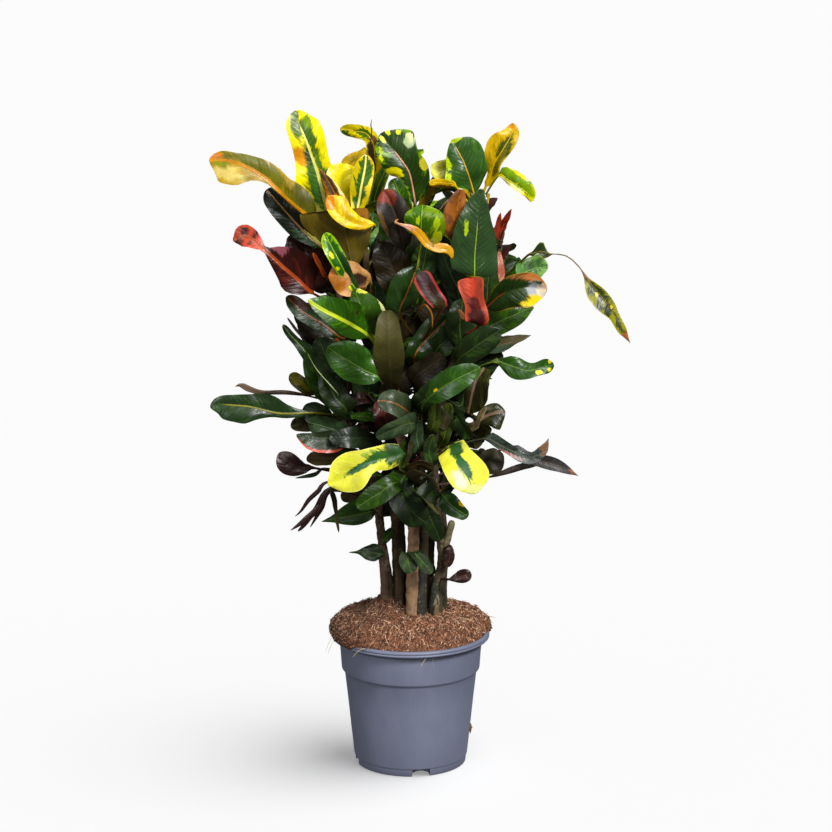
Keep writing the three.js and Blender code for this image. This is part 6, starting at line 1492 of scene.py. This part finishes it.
def makePot(material):
    profile = potProfile()
    deselect()
    radius, height = profile[0]
    bpy.ops.mesh.primitive_circle_add(vertices=pot["sides"], radius=radius * mm, fill_type="NGON",
                                      location=(0, 0, height * mm))
    piece = bpy.context.object
    piece.name = "potShell"
    bpy.ops.object.transform_apply(location=True, rotation=True, scale=True)
    bpy.ops.object.mode_set(mode="EDIT")
    bpy.ops.mesh.select_mode(type="EDGE")
    bpy.ops.mesh.select_all(action="SELECT")
    bpy.ops.mesh.delete(type="ONLY_FACE")
    bpy.ops.mesh.select_all(action="SELECT")
    for (r, z), (nextR, nextZ) in zip(profile, profile[1:]):
        bpy.ops.mesh.extrude_region_move(TRANSFORM_OT_translate={"value": (0, 0, (nextZ - z) * mm)})
        bpy.ops.transform.resize(value=(nextR / r, nextR / r, 1), center_override=(0, 0, nextZ * mm))
    bpy.ops.mesh.edge_face_add()    # the floor inside
    bpy.ops.mesh.select_all(action="DESELECT")
    bpy.ops.mesh.select_non_manifold()    # the ring that is still open, under the middle
    bpy.ops.mesh.edge_face_add()
    bpy.ops.mesh.select_all(action="SELECT")
    bpy.ops.mesh.normals_make_consistent(inside=False)
    bpy.ops.object.mode_set(mode="OBJECT")
    for k in range(pot["notches"]):
        cutNotch(piece, math.radians(pot["notchTurn"] + 360 / pot["notches"] * k))
    bpy.ops.object.shade_smooth_by_angle(angle=math.radians(40))
    piece.data.materials.clear()
    piece.data.materials.append(material)
    dress(piece, ["pot"])
    print("pot", len(piece.data.polygons), "faces")


def cutNotch(piece, turn):
    deselect()
    bpy.ops.mesh.primitive_cube_add(size=1)
    cutter = bpy.context.object
    cutter.scale = (pot["notchDepth"] * mm, pot["notchWidth"] * mm, pot["notchHeight"] * 2 * mm)
    cutter.location = (pot["foot"] * mm * math.cos(turn), pot["foot"] * mm * math.sin(turn), 0)
    cutter.rotation_euler = (0, 0, turn)
    bpy.ops.object.transform_apply(location=True, rotation=True, scale=True)
    bpy.ops.object.mode_set(mode="EDIT")
    bpy.ops.mesh.select_all(action="SELECT")
    bpy.ops.mesh.bevel(offset=1.2 * mm, segments=3)
    bpy.ops.object.mode_set(mode="OBJECT")
    cutter.select_set(False)
    piece.select_set(True)
    bpy.context.view_layer.objects.active = piece
    cut = piece.modifiers.new("notch", "BOOLEAN")
    cut.object = cutter
    cut.operation = "DIFFERENCE"
    cut.solver = "EXACT"
    bpy.ops.object.modifier_apply(modifier="notch")
    bpy.data.objects.remove(cutter)


def makePotMaterial():
    m = Maker("potPlastic")
    place = m.place()
    cloudy = m.noise(m.stretch(place, (1, 1, 0.6)), 16.0, 4.0, 0.6)
    streaks = m.noise(m.stretch(place, (150, 150, 5)), 1.0, 3.0, 0.6)
    grain = m.noise(place, 2400.0, 2.0)
    dust = m.noise(place, 420.0, 4.0, 0.7)
    color = m.mixColor(m.smooth(cloudy, 0.3, 0.75) * 0.5, srgb(pot["color"]), srgb(pot["edgeColor"]))
    color = m.mixColor(m.smooth(dust, 0.66, 0.74) * 0.35, color, srgb(pot["dustColor"]))
    color = m.shade(color, 0.94 + streaks * 0.12)
    rough = pot["rough"] + cloudy * 0.12 + (grain - 0.5) * 0.05
    height = grain * 0.3 + streaks * 0.5 + cloudy * 0.6
    sheen = {"Sheen Weight": pot["sheen"], "Sheen Roughness": 0.5, "Sheen Tint": srgb(pot["edgeColor"])}
    return m.finish(color, rough, height, 0.0003, 0.5, **sheen)


# Coir
coir = {
    "edge": 187, "backEdge": 197, "middle": 209, "gap": 0.35, "leastReach": 0.34, "sides": 220,
    "freeTurn": -65, "freeCos": 0.72, "freeFade": 0.42, "skirt": (1, 8), "droop": 6,    # where it hangs over
    "edgeWaves": ((1.1, 3, 0.5), (0.77, 11, 0), (0.66, 23, 1)),
    "skirtWaves": ((0.2, 5, 2), (0.2, 17, 0), (0.1, 31, 1)),
    "heap": dict(x=-33, y=6, height=19, spread=19),
    "stemGap": (7, 8),    # fibres and chips keep this far from the stems
    "lumps": ((0.16, 1.5), (0.34, 0.9), (0.8, 0.6)),    # how fine and how high
    "fibres": 2700, "fibreLength": (4, 22), "fibreRadius": (0.18, 0.42), "fibreCurl": 1.1,
    "chips": 5400, "chipSize": (1.1, 3.6), "chipThickness": (0.5, 1.4),
    "shades": ("93603f", "a9755a", "76462f", "482c1f", "c49c7c", "7f5038", "5c3726", "c8a88a"),
    "bed": "4e2c1c", "bedLight": "93603f",
}
lipPath = [(pot["bandTop"] - pot["wall"] + 1.5, pot["height"] - 8.5),
           (pot["lip"] - 8, pot["height"] - pot["lipDrop"] + 0.3),
           (pot["lip"] - 5.9, pot["height"] - 0.9),
           (pot["lip"] - 3.4, pot["height"] + 0.4),
           (pot["lip"] - 1, pot["height"])]


def lipPoint(share):
    return [np.interp(share * (len(lipPath) - 1), range(len(lipPath)), column) for column in zip(*lipPath)]


def spillAt(turn):    # how far the coir lies over the lip: not at the front, fully at the left and the back
    away = math.cos(turn - math.radians(coir["freeTurn"]))
    return clamp((coir["freeCos"] - away) / coir["freeFade"])


def soilHeight(x, y):
    heap = coir["heap"]
    share = min(1, math.hypot(x, y) / pot["lip"])
    away = math.hypot(x - heap["x"], y - heap["y"]) / heap["spread"]
    lumps = 1.6 * math.sin(x * 0.11 + 1) * math.cos(y * 0.13 - 0.6) + 1.1 * math.sin(x * 0.23 - y * 0.19)
    back = spillAt(math.atan2(y, x))
    edge = mix(coir["edge"], coir["backEdge"], back)
    mound = edge + (coir["middle"] - edge) * (1 - share ** 2.2)
    return mound + heap["height"] * math.exp(-away * away) + lumps


def wavy(turn, waves):    # each wave as (height, how many round the pot, start)
    return sum(high * math.sin(count * turn + start) for high, count, start in waves)


def coirEdge(turn):    # radius and height of the coir's edge, and how far it reaches up the lip
    spill = spillAt(turn)
    reach = mix(coir["leastReach"], 1, spill)
    edge = lipPoint(reach)
    rim = edge[0] + mix(-0.4, 2.8 + wavy(turn, coir["edgeWaves"]), spill)
    return rim, edge[1] + mix(1.6, 8, spill), reach


def hangAt(turn):    # how far down the coir hangs outside the lip, in uneven rags
    spill = max(0, spillAt(turn) - 0.2) / 0.8
    return spill * mix(*coir["skirt"], 0.5 + wavy(turn, coir["skirtWaves"]))


def coirTop(r, turn):    # height of the coir's surface at a radius within its edge
    rim, shoulder, _ = coirEdge(turn)
    x, y = r * math.cos(turn), r * math.sin(turn)
    height = mix(shoulder + 2, soilHeight(x, y), clamp((rim - r) / 14))
    return mix(shoulder, height, clamp((rim - r) / 2))


def roughness(x, y):    # small lumps of the coir's surface
    return 0.5 * sum(high * math.sin(x * fine * 3.1 + 1.7 * math.sin(y * fine * 2.3))
                     * math.cos(y * fine * 2.7 + x * fine) for fine, high in coir["lumps"])


def makeCoirBed(material):
    sides = coir["sides"]
    points = []
    inward = np.linspace(1, 0.02, 46)
    for k in range(sides):
        turn = 2 * math.pi * k / sides
        rim, shoulder, reach = coirEdge(turn)
        column = [(r - coir["gap"], z + coir["gap"]) for r, z in potInside]
        for share in (0, 0.25, 0.5, 0.75, 1):
            r, z = lipPoint(min(share, reach))
            column.append((r - max(0, share - reach) * 0.6, z + max(0, share - reach)))
        skirt = hangAt(turn)
        edge = column[-1]
        column.append((edge[0] + 0.1 + min(1.6, skirt), edge[1] + 0.1))
        column.append((edge[0] + 0.2 + min(1.8, skirt), edge[1] - skirt))
        column.append((max(rim, edge[0] + 0.5) + min(0.6, skirt), edge[1] + 0.3 - skirt * 0.8))
        column.append((max(rim, edge[0] + 0.5), shoulder))
        for share in inward[1:]:
            r = rim * share
            bump = roughness(r * math.cos(turn), r * math.sin(turn)) * min(1, (rim - r) / 5)
            column.append((r, coirTop(r, turn) + bump))
        points += [(r * math.cos(turn), r * math.sin(turn), z) for r, z in column]
    levels = len(points) // sides
    grid = np.arange(sides * levels).reshape(sides, levels)
    after = np.roll(grid, -1, 0)
    faces = np.stack((grid[:, :-1], after[:, :-1], after[:, 1:], grid[:, 1:]), 2).reshape(-1, 4).tolist()
    faces += [grid[::-1, 0].tolist(), grid[:, -1].tolist()]
    makePiece("coirBed", np.array(points) * mm, faces, material, ["soil"], sharp=80)
    print("coir bed", len(faces), "faces")


def surfaceAt(x, y):    # the height there, on the coir or hanging down outside its edge
    r, turn = math.hypot(x, y), math.atan2(y, x)
    rim, shoulder, _ = coirEdge(turn)
    if r <= rim:
        return coirTop(r, turn) + roughness(x, y) * min(1, (rim - r) / 5)
    return shoulder - coir["droop"] * (r - rim) ** 0.8


def tube(points, radius, sides=3):    # a thin strand through the points, pointed at both ends
    points = np.array(points, float)
    count = len(points)
    ahead = courseOf(points)
    side = unit(np.cross(ahead, (0.3, 0.2, 1)) + 1e-6)
    fromEnd = np.minimum(np.linspace(0, 1, count), np.linspace(1, 0, count))
    reach = radius * np.minimum(1, 0.35 + 2.6 * fromEnd)[:, None]
    return ringPoints(points, side, np.cross(ahead, side), turnsOf(sides), reach), ringFaces(count, sides)


def holdInside(x, y):    # keeps loose fibres within the coir's edge, a little over it where the coir spills
    r, turn = math.hypot(x, y), math.atan2(y, x)
    share = min(1, (coirEdge(turn)[0] + mix(-1.2, 2.2, spillAt(turn))) / max(r, 1))
    return x * share, y * share


def fibreLine(draw, length, x, y, heading, lift):
    points = []
    curl = draw(-1, 1) * coir["fibreCurl"]
    rise = draw(0, 1) ** 2 * lift
    for k in range(5):
        z = surfaceAt(x, y) + 0.3 + rise * math.sin(math.pi * k / 4) + draw(-0.25, 0.45)
        points.append((x, y, z))
        x, y = holdInside(x + math.cos(heading) * length / 4, y + math.sin(heading) * length / 4)
        heading += curl * length / 40 + draw(-0.3, 0.3)
    return points


def makeCoirFibres(material):
    draw = makeDraw(417)
    shades = [srgb(code) for code in coir["shades"]]
    points, faces, tints = [], [], []
    first = 0

    def add(body, own, tint):
        nonlocal first
        points.append(body)
        faces.extend([[first + i for i in face] for face in own])
        tints.append(np.tile((*tint, 1), (len(body), 1)))
        first += len(body)

    stems = [arm["path"][0][:2] for arm in arms.values() if arm["path"][0][2] == trunks["free"]]

    def bareSpot(x, y, gap):    # where a stem stands
        return min(math.dist((x, y), stem) for stem in stems) < gap

    def tintAt(x, y, low, high):
        # the fibres and chips carry the painted shade of shadeAt
        return np.array(shades[int(draw(0, 7.999))]) * draw(low, high) * shadeAt(x, y)

    for _ in range(coir["fibres"]):
        turn = draw(0, 2 * math.pi)
        rim = coirEdge(turn)[0]
        r = rim * math.sqrt(draw(0, 1)) * draw(0.97, 1.03)
        x, y = r * math.cos(turn), r * math.sin(turn)
        if bareSpot(x, y, coir["stemGap"][0]):
            continue
        length = mix(*coir["fibreLength"], draw(0, 1) ** 2.2)
        line = fibreLine(draw, length, x, y, draw(0, 2 * math.pi), 4)
        tint = tintAt(x, y, 0.7, 1.45)
        add(*tube(line, draw(*coir["fibreRadius"])), tint)
    for k in range(coir["chips"]):
        turn = draw(0, 2 * math.pi)
        spill, rim = spillAt(turn), coirEdge(turn)[0]
        r = rim * math.sqrt(draw(0, 1))
        if k % 6 == 0 and spill > 0.2:
            r = rim + draw(-1, 2) * spill
        x, y = r * math.cos(turn), r * math.sin(turn)
        if bareSpot(x, y, coir["stemGap"][1]):
            continue
        tint = tintAt(x, y, 0.6, 1.3)
        add(*chip(draw, x, y), tint)
    for start, end, sag, radius, shade in strands:
        add(*tube(strandLine(start, end, sag), radius), srgb(shade))
    traits = {"tint": np.vstack(tints)}
    makePiece("coirFibres", np.vstack(points) * mm, faces, material, [], traits, sharp=70)
    print("coir fibres", len(faces), "faces")


def shadeAt(x, y):    # painted shade: the coir is darker towards the left and the back, away from the light, and darker on the heap
    heap = coir["heap"]
    away = math.hypot(x - heap["x"], y - heap["y"]) / heap["spread"]
    clumps = math.sin(x * 0.21 + 2 * math.sin(y * 0.13)) * math.cos(y * 0.26 + 1.5 * math.sin(x * 0.17))
    clumps += math.sin(x * 0.47 + y * 0.39) * math.cos(y * 0.53 - x * 0.2) * 0.7
    # painted shade: lighter towards the front right, where the light falls
    lit = mix(0.58, 1.15, clamp((x - y * 0.9 + 95) / 150))
    return lit * (1 - 0.4 * math.exp(-away * away / 2)) * (1 + 0.3 * clumps)


def chip(draw, x, y):    # a flat crumb with five uneven corners
    size = mix(*coir["chipSize"], draw(0, 1) ** 2)
    thick = draw(*coir["chipThickness"])
    tilt, heading = draw(-0.7, 0.7), draw(0, 6.3)
    z = surfaceAt(x, y) + 0.4 + abs(math.sin(tilt)) * size * 0.3
    corners = []
    for k in range(5):
        turn = 2 * math.pi * k / 5 + draw(-0.4, 0.4)
        reach = size / 2 * draw(0.6, 1.15)
        a, b = reach * math.cos(turn) * 1.35, reach * math.sin(turn) * 0.75
        across, along = math.cos(heading), math.sin(heading)
        corners.append((a * across - b * along, a * along + b * across, a * math.sin(tilt)))
    low = [(x + a, y + b, z + c - thick / 2) for a, b, c in corners]
    high = [(x + a * 0.8, y + b * 0.8, z + c + thick / 2) for a, b, c in corners]
    faces = [[0, 4, 3, 2, 1], [5, 6, 7, 8, 9]] + [[k, (k + 1) % 5, 5 + (k + 1) % 5, 5 + k] for k in range(5)]
    return np.array(low + high), faces


def strandLine(start, end, sag):
    start, end = np.array(start, float), np.array(end, float)
    return [mix(start, end, t) + np.array((0, 0, sag * 4 * t * (1 - t))) for t in np.linspace(0, 1, 8)]


# Single strands that show, most of them over the lip, and two crumbs on the pot: start, end, rise, radius
# and colour
strands = [
    ((20, -104.6, 172), (13, -106.6, 161), 1, 0.4, "b7a27a"),
    ((29, -102.6, 172), (30, -103, 157), 0.5, 0.32, "b8a684"),
    ((-30, -58, 199), (-56, -96, 181), 3, 0.55, "b98a62"),
    ((-58, -88, 181), (-75, -92, 170), 3, 0.4, "bba078"),
    ((-96, -42, 184), (-109, -46, 160), 4, 0.3, "a89a80"),
    ((-98, -40, 184), (-112, -50, 164), 6, 0.3, "9c9080"),
    ((80, 4, 200), (113, -2, 197), 1, 0.5, "b98e6c"),
    ((88, -10, 197), (111, -8, 191), 1, 0.35, "a8795a"),
    ((80.4, -6, 51), (79.9, -9, 38), 0.4, 1.7, "7d5c46"),
    ((82.6, -5, 44), (79.8, -7, 47), 0.2, 1.2, "6b4a38"),
]


def makeCoirMaterial(name, tinted):
    m = Maker(name)
    place = m.place()
    coarse = m.noise(place, 210.0, 4.0, 0.65)
    fine = m.noise(m.stretch(place, (700, 1300, 900)), 1.0, 3.0, 0.6)
    if tinted:
        color = m.shade(m.attribute("tint", 0), 0.6 + fine * 0.75)
    else:
        color = m.mixColor(m.smooth(coarse, 0.38, 0.66), srgb(coir["bed"]), srgb(coir["bedLight"]))
        x, y, _ = m.split(place)
        # painted shade: the bed is darker towards the left and the back, away from the light
        color = m.shade(color, (0.4 + fine * 0.7) * (0.62 + m.smooth(x - y * 0.9 + 0.095, 0.0, 0.15) * 0.5))
    return m.finish(color, 0.86 + fine * 0.1, coarse * 0.6 + fine * 0.6, 0.0018, 0.9)


# Floor, light and camera
studio = {
    "floorColor": (0.93, 0.93, 0.93), "floorShade": (0.9, 0.9, 0.9), "floorGlow": 0.28, "floorSize": 90,
    "skyColor": (1.0, 1.0, 1.0), "skyStrength": 0.1,
    "suns": {    # towards, power, spread
        "floorSun": ((0.62, -0.12, 0.9), 2.47, 75),
        "plantSun": ((0.3, -0.66, 0.7), 1.9, 50),
    },
    "boxes": {    # place, aim, size and power
        "keyBox": ((1.6, -2.3, 2.5), (0, 0, 0.5), 0.8, 96),
        "fillBox": ((-2.4, -2.2, 1.9), (0, 0, 0.55), 0.9, 34),
        "topBox": ((-0.3, 0.2, 2.9), (0, 0, 0.5), 0.9, 24),
        "lowBox": ((-1.2, -2.5, 0.2), (0, 0, 0.12), 0.9, 9),    # on the pot and the coir
    },
    "eye": (7.1, -3200, 1135), "pitch": 11.73, "lens": 108.0, "sensor": 36,
}


def makeFloor():
    m = Maker("paleFloor")
    grain = m.noise(m.place(), 40.0, 2.0)
    color = m.mixColor(grain * 0.02, studio["floorColor"], studio["floorShade"])
    glow = {"Emission Color": (1, 1, 1), "Emission Strength": studio["floorGlow"], "Specular IOR Level": 0.0}
    m.finish(color, 0.9, grain, 0.0002, 0.1, **glow)
    deselect()
    bpy.ops.mesh.primitive_plane_add(size=studio["floorSize"])
    floor = bpy.context.object
    floor.name = "floor"
    floor.location.z = -0.0004
    floor.visible_diffuse = False    # its glow doesn't flatten the leaves
    floor.visible_glossy = False
    floor.data.materials.append(m.material)
    floor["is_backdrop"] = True


def aimLamp(lamp, away):    # the lamp shines against the direction "away"
    x, y, z = away
    lamp.rotation_euler = (math.atan2(math.hypot(x, y), z), 0, math.atan2(x, -y))


def addLamp(name, kind, power, away, receiver, **settings):
    light = bpy.data.lights.new(name, kind)
    light.energy = power
    for key, setting in settings.items():
        setattr(light, key, setting)
    lamp = addObject(name, light)
    aimLamp(lamp, away)
    lamp.light_linking.receiver_collection = receiver
    return lamp


def makeStudio():
    scene = bpy.context.scene
    world = bpy.data.worlds.new("paleRoom")
    scene.world = world
    world.use_nodes = True
    sky = world.node_tree.nodes["Background"]
    sky.inputs[0].default_value = (*studio["skyColor"], 1)
    sky.inputs[1].default_value = studio["skyStrength"]
    names = "plantAndPot", "potAndCoir", "ground"
    plant, base, ground = [bpy.data.collections.new(name) for name in names]
    for piece in scene.objects:
        if piece.name == "floor":
            ground.objects.link(piece)
        elif piece.type == "MESH":
            plant.objects.link(piece)
            if piece.name.startswith(("pot", "coir")):
                base.objects.link(piece)
    for name, (spot, aim, size, power) in studio["boxes"].items():
        away = np.array(spot) - np.array(aim)
        receiver = base if name == "lowBox" else plant
        box = addLamp(name, "AREA", power, away, receiver, shape="DISK", size=size)
        box.location = spot
    for name, (towards, power, spread) in studio["suns"].items():
        receiver = ground if name == "floorSun" else plant
        sun = addLamp(name, "SUN", power, towards, receiver, angle=math.radians(spread))
        if name == "floorSun":
            sun.light_linking.blocker_collection = base
    camera = bpy.data.cameras.new("camera")
    camera.lens = studio["lens"]
    camera.sensor_width = studio["sensor"]
    camera.clip_end = 200
    eye = addObject("camera", camera)
    eye.location = [c * mm for c in studio["eye"]]
    eye.rotation_euler = (math.radians(90 - studio["pitch"]), 0, 0)
    scene.camera = eye
    scene.view_settings.view_transform = "Standard"


for arm in arms.values():
    layBark(arm)
leaves = placeLeaves()
leaves += placeFillLeaves()
chance = makeDraw(90210)
leafMaterial = makeLeafMaterial()
barkMaterial = makeBarkMaterial()
for number in range(1, 8):
    makeStems(number, barkMaterial, chance)
    makeFoliage(number, leaves, leafMaterial, chance)
makePot(makePotMaterial())
makeCoirBed(makeCoirMaterial("coirBed", False))
makeCoirFibres(makeCoirMaterial("coirFibre", True))
makeFloor()
makeStudio()
print("stage done")

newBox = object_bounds()
boxes = {"cad": cadBox, "visual": newBox}
{key: [[float(c) for c in corner] for corner in box] for key, box in boxes.items()}
